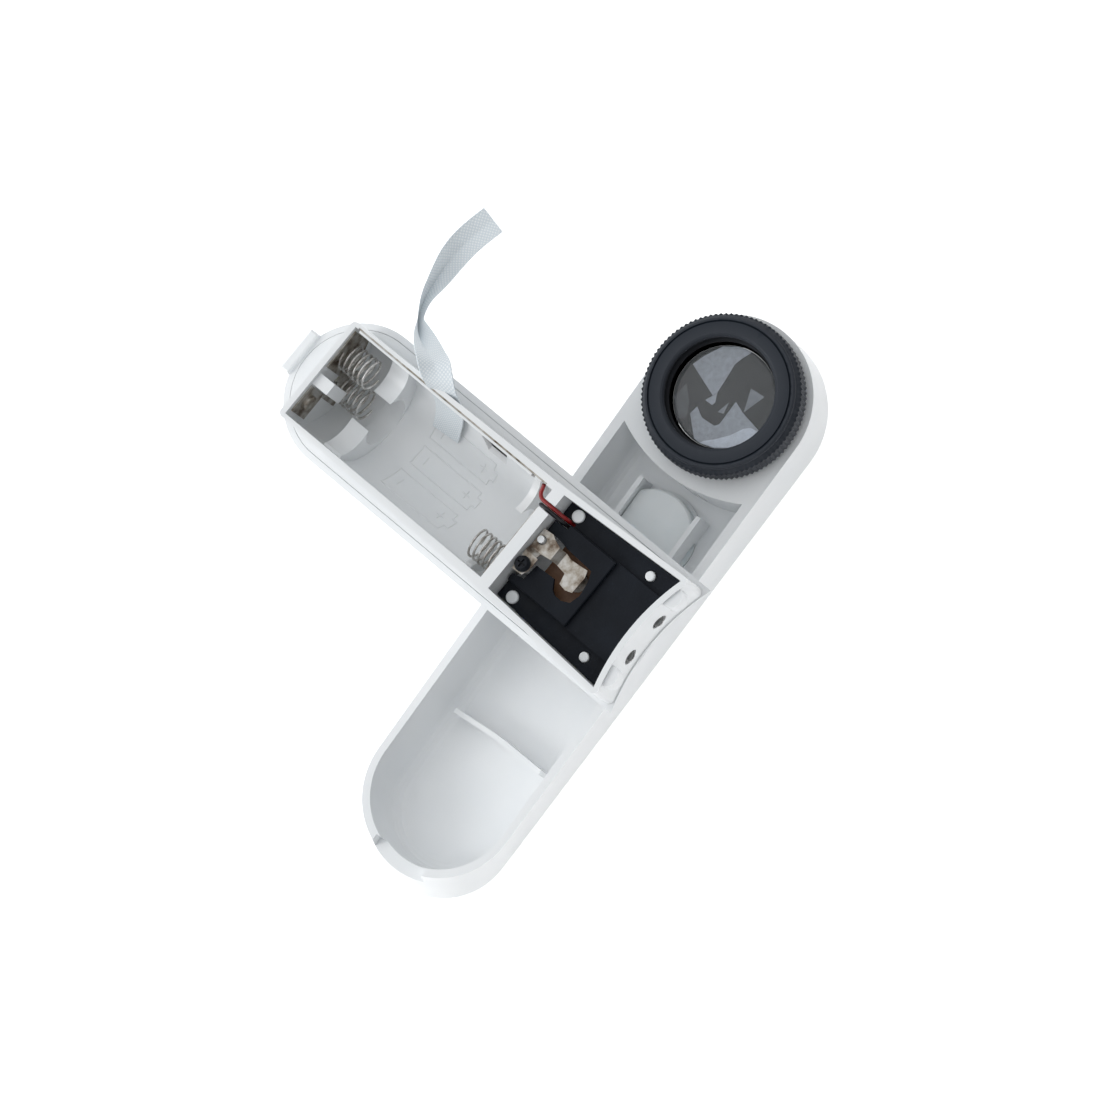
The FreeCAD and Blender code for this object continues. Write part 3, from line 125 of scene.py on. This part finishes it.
class Shader:
    """A small builder for one material's nodes."""

    def __init__(self, name):
        self.material = bpy.data.materials.new(name)
        self.material.use_nodes = True
        self.tree = self.material.node_tree
        self.surface = self.tree.nodes["Principled BSDF"]
        self.coords = self.add("ShaderNodeTexCoord")

    def add(self, kind, **values):
        node = self.tree.nodes.new(kind)
        for name, value in values.items():
            if name in node.inputs:
                node.inputs[name].default_value = value
            else:
                setattr(node, name, value)
        return node

    def link(self, output, target):
        self.tree.links.new(output, target)

    def set(self, **values):
        for name, value in values.items():
            self.surface.inputs[name.replace("_", " ")].default_value = value

    def noise(self, scale, detail=3.0, rough=0.5):
        node = self.add("ShaderNodeTexNoise", Scale=scale, Detail=detail, Roughness=rough)
        self.link(self.coords.outputs["Object"], node.inputs["Vector"])
        return node.outputs["Fac"]

    def ramp(self, source, stops):
        node = self.add("ShaderNodeValToRGB")
        elements = node.color_ramp.elements
        for element, (place, colour) in zip(elements, (stops[0], stops[-1])):
            element.position = place
            element.color = colour
        for place, colour in stops[1:-1]:
            elements.new(place).color = colour
        self.link(source, node.inputs["Fac"])
        return node.outputs["Color"]

    def grey(self, source, low, high, start=0.3, end=0.7):
        return self.ramp(source, [(start, (low, low, low, 1)), (end, (high, high, high, 1))])

    def bump(self, source, strength, distance, below=None):
        node = self.add("ShaderNodeBump", Strength=strength, Distance=distance)
        self.link(source, node.inputs["Height"])
        if below is not None:
            self.link(below, node.inputs["Normal"])
        return node.outputs["Normal"]

    def finish(self, colour=None, rough=None, normal=None):
        if colour is not None:
            self.link(colour, self.surface.inputs["Base Color"])
        if rough is not None:
            self.link(rough, self.surface.inputs["Roughness"])
        if normal is not None:
            self.link(normal, self.surface.inputs["Normal"])
        return self.material


def shade(level, red=0.0, green=0.0, blue=0.0):
    return (level + red, level + green, level + blue, 1.0)


def white_plastic():
    """Cool white ABS with the faint mottle and orange peel of a moulding."""
    m = Shader("white_plastic")
    m.set(IOR=1.5, Coat_Weight=0.15, Coat_Roughness=0.18, Subsurface_Weight=0.08)
    m.set(Subsurface_Radius=(0.0012, 0.0012, 0.0013), Subsurface_Scale=1.0)
    mottle = m.noise(60.0, 4.0)
    colour = m.ramp(
        mottle, [(0.35, (0.850, 0.868, 0.880, 1)), (0.65, (0.890, 0.902, 0.910, 1))]
    )
    rough = m.grey(m.noise(220.0, 3.0), 0.32, 0.46)
    peel = m.bump(m.noise(900.0, 2.0), 0.12, 0.00006)
    return m.finish(colour, rough, m.bump(m.noise(90.0, 2.0), 0.10, 0.0003, peel))


def soft_pad():
    """The push button's slightly translucent soft white."""
    m = Shader("soft_pad")
    m.set(IOR=1.45, Subsurface_Weight=0.45, Subsurface_Scale=1.0)
    m.set(Subsurface_Radius=(0.002, 0.0022, 0.0023))
    colour = m.ramp(
        m.noise(110.0, 3.0), [(0.35, (0.79, 0.83, 0.84, 1)), (0.65, (0.84, 0.87, 0.88, 1))]
    )
    return m.finish(colour, m.grey(m.noise(300.0), 0.42, 0.6), m.bump(m.noise(700.0), 0.2, 0.0001))


def black_plastic(name, level, rough_low, rough_high, grain, depth):
    """Black moulded plastic, from satin to finely grained."""
    m = Shader(name)
    m.set(IOR=1.5, Specular_IOR_Level=0.14)
    tint = m.ramp(
        m.noise(140.0, 4.0),
        [(0.3, shade(level, 0.0, 0.0015, 0.005)), (0.7, shade(level * 1.7, 0.0, 0.003, 0.009))],
    )
    rough = m.grey(m.noise(400.0, 4.0), rough_low, rough_high)
    return m.finish(tint, rough, m.bump(m.noise(grain, 3.0, 0.6), 0.5, depth))


def ring_black_edge_highlight():
    """The focus ring's black, with a painted highlight that makes its ridges and edges a little
    lighter.
    """
    m = Shader("ring_black_edge_highlight")
    m.set(IOR=1.5, Specular_IOR_Level=0.10)
    geometry = m.add("ShaderNodeNewGeometry")
    # Painted highlight: the ridges and edges, where the surface is most convex, are made lighter.
    painted_edge_highlight = m.grey(geometry.outputs["Pointiness"], 0.0, 1.0, 0.49, 0.56)
    base = m.ramp(
        m.noise(160.0, 4.0), [(0.3, (0.004, 0.009, 0.016, 1)), (0.7, (0.009, 0.015, 0.024, 1))]
    )
    mix = m.add("ShaderNodeMix", data_type="RGBA")
    m.link(painted_edge_highlight, mix.inputs["Factor"])
    m.link(base, mix.inputs["A"])
    # The painted highlight's colour on the ridges and edges.
    mix.inputs["B"].default_value = (0.045, 0.050, 0.060, 1)
    rough = m.grey(m.noise(350.0, 4.0), 0.36, 0.52)
    return m.finish(mix.outputs["Result"], rough, m.bump(m.noise(1400.0, 2.0), 0.3, 0.00005))


def nickel():
    """Nickel plate, part tarnished brown, with fine rolling marks."""
    m = Shader("nickel_plate")
    m.set(Metallic=1.0)
    stain = m.noise(420.0, 5.0, 0.6)
    colour = m.ramp(
        stain,
        [
            (0.34, (0.16, 0.12, 0.09, 1)),
            (0.47, (0.38, 0.34, 0.29, 1)),
            (0.62, (0.55, 0.53, 0.50, 1)),
        ],
    )
    rough = m.grey(stain, 0.50, 0.36)
    return m.finish(colour, rough, m.bump(m.noise(1600.0, 2.0), 0.25, 0.00004))


def spring_steel():
    m = Shader("spring_steel")
    m.set(Metallic=1.0)
    colour = m.ramp(
        m.noise(700.0, 3.0), [(0.35, (0.42, 0.39, 0.36, 1)), (0.65, (0.74, 0.73, 0.71, 1))]
    )
    return m.finish(colour, m.grey(m.noise(900.0), 0.22, 0.34), m.bump(m.noise(2500.0), 0.2, 0.00002))


def brown_board():
    m = Shader("brown_board")
    colour = m.ramp(
        m.noise(260.0, 6.0, 0.7), [(0.3, (0.13, 0.055, 0.025, 1)), (0.7, (0.27, 0.13, 0.06, 1))]
    )
    return m.finish(colour, m.grey(m.noise(500.0), 0.4, 0.6), m.bump(m.noise(1200.0), 0.4, 0.00006))


def clear_glass(name, tint, rough):
    m = Shader(name)
    m.set(IOR=1.49, Transmission_Weight=1.0)
    colour = m.ramp(m.noise(40.0), [(0.3, tint), (0.7, tuple(min(1.0, c + 0.01) for c in tint))])
    return m.finish(colour, m.grey(m.noise(200.0), rough, rough + 0.02))


def insulation(name, low, high):
    m = Shader(name)
    m.set(IOR=1.5)
    colour = m.ramp(m.noise(500.0), [(0.35, low), (0.65, high)])
    return m.finish(colour, m.grey(m.noise(900.0), 0.3, 0.42), m.bump(m.noise(1800.0), 0.2, 0.00003))


def ribbon_weave():
    """A satin ribbon: fine slanted weave lines and a sheen, read along its own length."""
    m = Shader("ribbon_weave")
    m.set(Sheen_Weight=0.2, Sheen_Roughness=0.5, IOR=1.45, Specular_IOR_Level=0.25)
    heights = []
    for turn, scale in ((0.62, 560.0), (-0.95, 560.0)):
        place = m.add("ShaderNodeMapping")
        place.inputs["Rotation"].default_value = (0.0, 0.0, turn)
        m.link(m.coords.outputs["UV"], place.inputs["Vector"])
        wave = m.add("ShaderNodeTexWave", Scale=scale, Distortion=0.6, Detail=1.0)
        wave.inputs["Detail Scale"].default_value = 2.0
        m.link(place.outputs["Vector"], wave.inputs["Vector"])
        heights.append(wave.outputs["Fac"])
    weave = m.add("ShaderNodeMath", operation="MULTIPLY")
    m.link(heights[0], weave.inputs[0])
    m.link(heights[1], weave.inputs[1])
    colour = m.ramp(
        weave.outputs["Value"],
        [(0.05, (0.72, 0.78, 0.82, 1)), (0.5, (0.87, 0.91, 0.93, 1)), (0.9, (0.91, 0.93, 0.95, 1))],
    )
    normal = m.bump(weave.outputs["Value"], 0.6, 0.00006)
    return m.finish(colour, m.grey(heights[0], 0.5, 0.7), normal)


# ---------------------------------------------------------------------------
# Mesh helpers
# ---------------------------------------------------------------------------


def new_piece(name, mesh, material, body):
    piece = bpy.data.objects.new(name, mesh)
    bpy.context.scene.collection.objects.link(piece)
    mesh.materials.append(material)
    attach(piece, body)
    return piece


def smooth(mesh, angle):
    for polygon in mesh.polygons:
        polygon.use_smooth = True
    mesh.set_sharp_from_angle(angle=math.radians(angle))


def paint(material, *names):
    for name in names:
        thing = NODES[name]
        for holder in thing.material_slots:
            holder.material = material


# ---------------------------------------------------------------------------
# Ribbon
# ---------------------------------------------------------------------------


def spline_points(route):
    """Points along the smooth NURBS line that has the route as its control points."""
    data = bpy.data.curves.new("route", "CURVE")
    data.dimensions = "3D"
    data.resolution_u = 14
    spline = data.splines.new("NURBS")
    spline.points.add(len(route) - 1)
    for point, place in zip(spline.points, route):
        point.co = (*place, 1.0)
    spline.order_u = 3
    spline.use_endpoint_u = True
    holder = bpy.data.objects.new("route", data)
    bpy.context.scene.collection.objects.link(holder)
    bpy.context.view_layer.update()
    mesh = bpy.data.meshes.new_from_object(holder)
    points = [vertex.co.copy() for vertex in mesh.vertices]
    bpy.data.objects.remove(holder)
    bpy.data.curves.remove(data)
    bpy.data.meshes.remove(mesh)
    return points


def lean_along(count):
    """The ribbon's width direction at each point, smoothed so that it turns evenly."""
    leans = []
    last = len(RIBBON_LEAN) - 1
    for i in range(count):
        place = min(max(i / (count - 1) * (last - 1) + 0.5, 0.0), float(last))
        low = min(int(place), last - 1)
        leans.append(Vector(RIBBON_LEAN[low]).lerp(Vector(RIBBON_LEAN[low + 1]), place - low))
    for _ in range(LEAN_PASSES):
        ends = [leans[0]] + leans + [leans[-1]]
        leans = [(a + b * 2 + c) / 4 for a, b, c in zip(ends, ends[1:], ends[2:])]
    return leans


def ribbon_section():
    """The strip's outline across its width, with thick selvedges, as (across, up)."""
    half = RIBBON_WIDTH / 2
    selvedge_from = 0.9
    selvedge_up = 0.5
    middle_up = 0.42
    top = []
    for across in (-1.0, -0.96, -0.75, -0.5, -0.25, -0.08, 0.0, 0.08, 0.25, 0.5, 0.75, 0.96):
        up = selvedge_up if abs(across) > selvedge_from else middle_up
        if across == -1.0:
            up = 0.0
        top.append((across * half, up * RIBBON_THICK))
    return top + [(-across, -up) for across, up in top]


def crease_angle(share):
    reach = CREASE_BACK if share < CREASE_AT else CREASE_ON
    return CREASE_ANGLE * math.exp(-(((share - CREASE_AT) / reach) ** 2))


def make_ribbon(material):
    """A strip with thick selvedges that follows the route, turns and is creased on its way."""
    points = spline_points(RIBBON_ROUTE)
    count = len(points)
    profile = ribbon_section()
    mesh_data = bmesh.new()
    layer = mesh_data.loops.layers.uv.new("along")
    rings = []
    leans = lean_along(count)
    lengths = [0.0]
    for i in range(1, count):
        lengths.append(lengths[-1] + (points[i] - points[i - 1]).length)
    for i, point in enumerate(points):
        ahead = points[min(i + 1, count - 1)] - points[max(i - 1, 0)]
        ahead.normalize()
        side = leans[i]
        side = (side - ahead * side.dot(ahead)).normalized()
        face = ahead.cross(side)
        crease = crease_angle(i / (count - 1))
        ring = []
        for across, up in profile:
            sideways = across * math.cos(crease)
            lift = abs(across) * math.sin(crease) - RIBBON_WIDTH / 4 * math.sin(crease) + up
            ring.append(mesh_data.verts.new(point + side * sideways + face * lift))
        rings.append(ring)
    size = len(profile)
    for i in range(count - 1):
        for j in range(size):
            k = (j + 1) % size
            corners = [rings[i][j], rings[i][k], rings[i + 1][k], rings[i + 1][j]]
            quad = mesh_data.faces.new(corners)
            spots = [(i, j), (i, k), (i + 1, k), (i + 1, j)]
            for loop, (row, column) in zip(quad.loops, spots):
                loop[layer].uv = (profile[column][0], lengths[row])
    mesh_data.faces.new(list(reversed(rings[0])))
    mesh_data.faces.new(rings[-1])
    bmesh.ops.recalc_face_normals(mesh_data, faces=mesh_data.faces)
    mesh = bpy.data.meshes.new("ribbon")
    mesh_data.to_mesh(mesh)
    mesh_data.free()
    smooth(mesh, RIBBON_SHARP_ANGLE)
    ribbon = new_piece("ribbon", mesh, material, "cartridge")
    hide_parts("pull_ribbon")


# ---------------------------------------------------------------------------
# Marks in the trough
# ---------------------------------------------------------------------------


MARK_RADIUS = 0.13
MARK_LIFT = 0.02
MARK_STEPS = 6
# Each battery outline's name, and its middle along and across the trough.
BATTERY_MARKS = [
    ("battery_mark_middle", 56.4, 0.9),
    ("battery_mark_left", 56.8, 7.1),
    ("battery_mark_right", 56.6, -5.2),
]


def trough_up(across):
    """Height of the trough's round floor at a distance across it."""
    return TROUGH_CENTRE - math.sqrt(TROUGH_ROUND**2 - across**2)


def raised_line(name, loops, material):
    """Thin raised lines on the trough's floor; a loop is (closed, list of (along, across))."""
    data = bpy.data.curves.new(name, "CURVE")
    data.dimensions = "3D"
    data.bevel_depth = MARK_RADIUS * MM
    data.bevel_resolution = 2
    for closed, loop in loops:
        steps = []
        for (x0, y0), (x1, y1) in zip(loop, loop[1:] + ([loop[0]] if closed else [])):
            for i in range(MARK_STEPS):
                t = i / MARK_STEPS
                steps.append((x0 + (x1 - x0) * t, y0 + (y1 - y0) * t))
        if not closed:
            steps.append(loop[-1])
        spline = data.splines.new("POLY")
        spline.points.add(len(steps) - 1)
        for point, (along, across) in zip(spline.points, steps):
            point.co = (*on_cartridge(along, across, trough_up(across) + MARK_LIFT), 1.0)
        spline.use_cyclic_u = closed
    piece = bpy.data.objects.new(name, data)
    bpy.context.scene.collection.objects.link(piece)
    data.materials.append(material)
    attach(piece, "cartridge")


def battery_mark(name, middle, across, material):
    """A battery's outline with its cap, a plus by the cap and a minus at the other end."""
    long = 15.2
    wide = 4.3
    cap = 1.0
    sign_inset = 2.2
    arm = 0.85
    start = middle - long / 2
    end = middle + long / 2
    low = across - wide / 2
    high = across + wide / 2
    nose = wide * 0.22
    shape = [
        (end, low), (start, low), (start, across - nose), (start - cap, across - nose),
        (start - cap, across + nose), (start, across + nose), (start, high), (end, high),
    ]
    plus = start + sign_inset
    minus = end - sign_inset
    loops = [
        (True, shape),
        (False, [(plus + arm, across), (plus - arm, across)]),
        (False, [(plus, across - arm), (plus, across + arm)]),
        (False, [(minus, across - arm), (minus, across + arm)]),
    ]
    raised_line(name, loops, material)


def make_marks(material):
    for name, middle, across in BATTERY_MARKS:
        battery_mark(name, middle, across, material)


# ---------------------------------------------------------------------------
# Painted light and shade: the field seen through the eye lens
# ---------------------------------------------------------------------------

PAINTED_VIEW_ROUND = 9.85
PAINTED_VIEW_HEIGHT = 15.55
PAINTED_VIEW_STEP = 0.02
PAINTED_VIEW_SIDES = 72
PAINTED_VIEW_TINT = (0.90, 0.97, 1.12)
# Painted light and shade for the view through the lens, glowing though none is a lamp: each shade's
# darkest and lightest grey, and its glow.
PAINTED_VIEW_SHADES = {
    "base": (0.012, 0.040, 0.3),
    "faint": (0.05, 0.09, 0.3),
    "dull": (0.13, 0.20, 0.4),
    "pale": (0.20, 0.30, 0.4),
    "bright": (0.40, 0.50, 0.4),
}
# Pale shapes under the eye lens, as corners in millimetres round its axis: painted light that stands
# for lit surfaces seen through the lens.  They imitate the view through the lens and stand for no
# known piece.
PAINTED_VIEW_SHAPES = [
    ("pale", [
        (1.6, 8.9), (-1.0, 2.0), (0.0, 1.6), (3.0, 1.8), (6.1, 2.1), (7.9, 1.6), (9.5, 0.9),
        (9.8, 1.1), (9.2, 3.6), (7.5, 6.2), (4.1, 8.0),
    ]),
    ("pale", [(-2.5, 2.7), (-0.7, 1.8), (0.0, 1.6), (-1.8, 0.8), (-2.5, 1.0)]),
    ("dull", [(4.1, -3.2), (4.3, -6.3), (-0.3, -4.8)]),
    ("dull", [(-3.0, -0.6), (-0.3, -1.4), (-2.6, -1.8)]),
    ("pale", [
        (-6.1, 3.6), (-4.3, 3.2), (-5.5, 1.2), (-5.4, -1.7), (-4.6, -2.3), (0.5, -2.4),
        (-0.4, -4.7), (-0.7, -5.9), (-1.5, -9.7), (-4.6, -8.7), (-7.4, -6.4), (-8.9, -4.2),
        (-9.7, -1.2), (-9.5, 0.2),
    ]),
    # The bright shape is a painted highlight, a crescent of light seen through the lens.
    ("bright", [
        (-8.8, -1.7), (-7.4, -3.3), (-5.1, -5.3), (-2.8, -6.6), (-1.8, -7.7), (-1.7, -9.6),
        (-4.6, -8.6), (-7.4, -6.3), (-8.8, -4.0), (-9.6, -1.2),
    ]),
    ("faint", [(-5.3, 8.2), (-1.9, 7.6), (-4.6, 4.9), (-7.2, 3.7), (-8.3, 5.2)]),
]


def painted_light_shade(name, low, high, glow):
    """Painted light for the view through the lens: a grey with random scuff-like mottle and a faint
    glow of its own, though it is no lamp.
    """
    m = Shader("painted_light_" + name)
    m.set(IOR=1.45, Specular_IOR_Level=0.1)
    view_mottle = m.noise(900.0, 6.0, 0.75)
    dark = (*(low * part for part in PAINTED_VIEW_TINT), 1)
    light = (*(high * part for part in PAINTED_VIEW_TINT), 1)
    colour = m.ramp(view_mottle, [(0.35, dark), (0.68, light)])
    # Painted light: the grey glows of its own.
    m.link(colour, m.surface.inputs["Emission Color"])
    m.set(Emission_Strength=glow)
    return m.finish(colour, m.grey(view_mottle, 0.45, 0.7))


def painted_light_piece(name, corners, height, material):
    mesh = bpy.data.meshes.new(name)
    points = [(x * MM, y * MM, height * MM) for x, y in corners]
    mesh.from_pydata(points, [], [tuple(range(len(points)))])
    return new_piece(name, mesh, material, "lens_group")


def make_painted_view():
    """Painted light and shade under the eye lens: a round dark field, with the glowing pale shapes of
    painted light just above it.
    """
    shades = {name: painted_light_shade(name, *values) for name, values in PAINTED_VIEW_SHADES.items()}
    turns = [2 * math.pi * i / PAINTED_VIEW_SIDES for i in range(PAINTED_VIEW_SIDES)]
    rim = [(PAINTED_VIEW_ROUND * math.cos(turn), PAINTED_VIEW_ROUND * math.sin(turn)) for turn in turns]
    painted_light_piece("lens_view_painted_field", rim, PAINTED_VIEW_HEIGHT, shades["base"])
    for count, (shade_name, corners) in enumerate(PAINTED_VIEW_SHAPES, start=1):
        height = PAINTED_VIEW_HEIGHT + PAINTED_VIEW_STEP * count
        painted_light_piece("lens_view_painted_shape_%d" % count, corners, height, shades[shade_name])


# ---------------------------------------------------------------------------
# Leads seen through the slit in the trough's wall
# ---------------------------------------------------------------------------


# Places in the cartridge's frame, in millimetres, and the insulation's radius.
LEAD_BLACK = [(45.0, -11.2, 7.7), (50.0, -11.0, 7.9), (55.5, -11.2, 7.7)]
LEAD_BLACK_RADIUS = 0.5
LEAD_RED = [(45.5, -10.7, 6.6), (49.0, -10.4, 6.7), (52.5, -10.8, 6.5)]
LEAD_RED_RADIUS = 0.4


def make_lead(name, points, radius, material):
    data = bpy.data.curves.new(name, "CURVE")
    data.dimensions = "3D"
    data.bevel_depth = radius * MM
    data.bevel_resolution = 4
    data.use_fill_caps = True
    spline = data.splines.new("NURBS")
    spline.points.add(len(points) - 1)
    for point, place in zip(spline.points, points):
        point.co = (*on_cartridge(*place), 1.0)
    spline.order_u = 3
    spline.use_endpoint_u = True
    lead = bpy.data.objects.new(name, data)
    bpy.context.scene.collection.objects.link(lead)
    data.materials.append(material)
    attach(lead, "cartridge")


# ---------------------------------------------------------------------------
# Stage and light
# ---------------------------------------------------------------------------


FLOOR_GLOW = 0.55
FLOOR_DROP = 0.0002
LIGHT_AIM = Vector((-0.04, 0.015, 0.01))


def make_stage():
    """A pale floor just below the object, with some glow of its own."""
    mesh = bpy.data.meshes.new("floor")
    size = 3.0
    corners = [(-size, -size, 0), (size, -size, 0), (size, size, 0), (-size, size, 0)]
    mesh.from_pydata(corners, [], [(0, 1, 2, 3)])
    floor = bpy.data.objects.new("floor", mesh)
    bpy.context.scene.collection.objects.link(floor)
    m = Shader("paper")
    m.set(Roughness=0.9, Specular_IOR_Level=0.1)
    colour = m.ramp(m.noise(2.0), [(0.3, (0.95, 0.95, 0.95, 1)), (0.7, (0.96, 0.96, 0.96, 1))])
    m.link(colour, m.surface.inputs["Emission Color"])
    m.set(Emission_Strength=FLOOR_GLOW)
    mesh.materials.append(m.finish(colour))
    floor.location.z = -FLOOR_DROP


def area_light(name, place, size, power):
    data = bpy.data.lights.new(name, "AREA")
    data.shape = "SQUARE"
    data.size = size
    data.energy = power
    light = bpy.data.objects.new(name, data)
    bpy.context.scene.collection.objects.link(light)
    light.location = place
    aim = LIGHT_AIM - Vector(place)
    light.rotation_euler = aim.to_track_quat("-Z", "Y").to_euler()


def make_sky():
    """A white room, brighter on the side that the light comes from."""
    world = bpy.data.worlds.new("studio")
    world.use_nodes = True
    tree = world.node_tree
    background = tree.nodes["Background"]
    background.inputs["Color"].default_value = (0.965, 0.985, 1.0, 1)
    coords = tree.nodes.new("ShaderNodeTexCoord")
    facing = tree.nodes.new("ShaderNodeVectorMath")
    facing.operation = "DOT_PRODUCT"
    facing.inputs[1].default_value = Vector((-0.15, 0.65, 0.75)).normalized()
    spread = tree.nodes.new("ShaderNodeMapRange")
    spread.inputs["From Min"].default_value = -0.4
    spread.inputs["From Max"].default_value = 1.0
    spread.inputs["To Min"].default_value = 0.10
    spread.inputs["To Max"].default_value = 1.06
    tree.links.new(coords.outputs["Generated"], facing.inputs[0])
    tree.links.new(facing.outputs["Value"], spread.inputs["Value"])
    tree.links.new(spread.outputs["Result"], background.inputs["Strength"])
    bpy.context.scene.world = world


def make_light():
    make_sky()
    area_light("key", place=(-0.63, 0.45, 0.45), size=0.35, power=2.2)
    bpy.context.scene.view_settings.view_transform = "Standard"


# ---------------------------------------------------------------------------
# Making
# ---------------------------------------------------------------------------


def finish_cad_nodes():
    """Materials for the CAD nodes, and the leads and marks that share them."""
    white = white_plastic()
    paint(white, "housing_shell", "outer_cover", "battery_box")
    paint(soft_pad(), "push_button")
    paint(ring_black_edge_highlight(), "focus_ring", "bezel_ring")
    inner_black = black_plastic("inner_black", 0.02, 0.45, 0.6, 900.0, 0.00005)
    paint(
        inner_black, "lens_barrel", "lens_cell", "cell_lip_ring", "lens_spacer", "retaining_ring"
    )
    paint(black_plastic("plate_black", 0.006, 0.42, 0.6, 1500.0, 0.00012), "switch_plate")
    paint(clear_glass("lens_glass", (0.96, 0.98, 0.98, 1), 0.0), "eye_lens", "field_lens")
    paint(clear_glass("guide_acrylic", (0.93, 0.95, 0.96, 1), 0.05), "light_guide")
    paint(clear_glass("lamp_epoxy", (0.95, 0.95, 0.93, 1), 0.08), "led_left", "led_right")
    paint(nickel(), "spring_plate", "nipple_contact", "divider_plate", "bus_strip")
    paint(nickel(), "contact_blade", "fixed_contact")
    paint(spring_steel(), "spring_a", "spring_b", "spring_c")
    paint(black_plastic("black_steel", 0.01, 0.25, 0.4, 900.0, 0.00004), "blade_screw")
    paint(brown_board(), "insulator_board")
    red = insulation("red_pvc", (0.22, 0.006, 0.006, 1), (0.32, 0.012, 0.012, 1))
    black = insulation("black_pvc", (0.008, 0.008, 0.010, 1), (0.016, 0.016, 0.020, 1))
    paint(red, "red_wire")
    paint(black, "black_wire")
    make_lead("lead_black_run", LEAD_BLACK, LEAD_BLACK_RADIUS, black)
    make_lead("lead_red_run", LEAD_RED, LEAD_RED_RADIUS, red)
    for thing in NODES.values():
        smooth(thing.data, CAD_SHARP_ANGLE)
    make_marks(white)


make_camera()
make_ribbon(ribbon_weave())
make_stage()
make_light()
make_painted_view()
finish_cad_nodes()
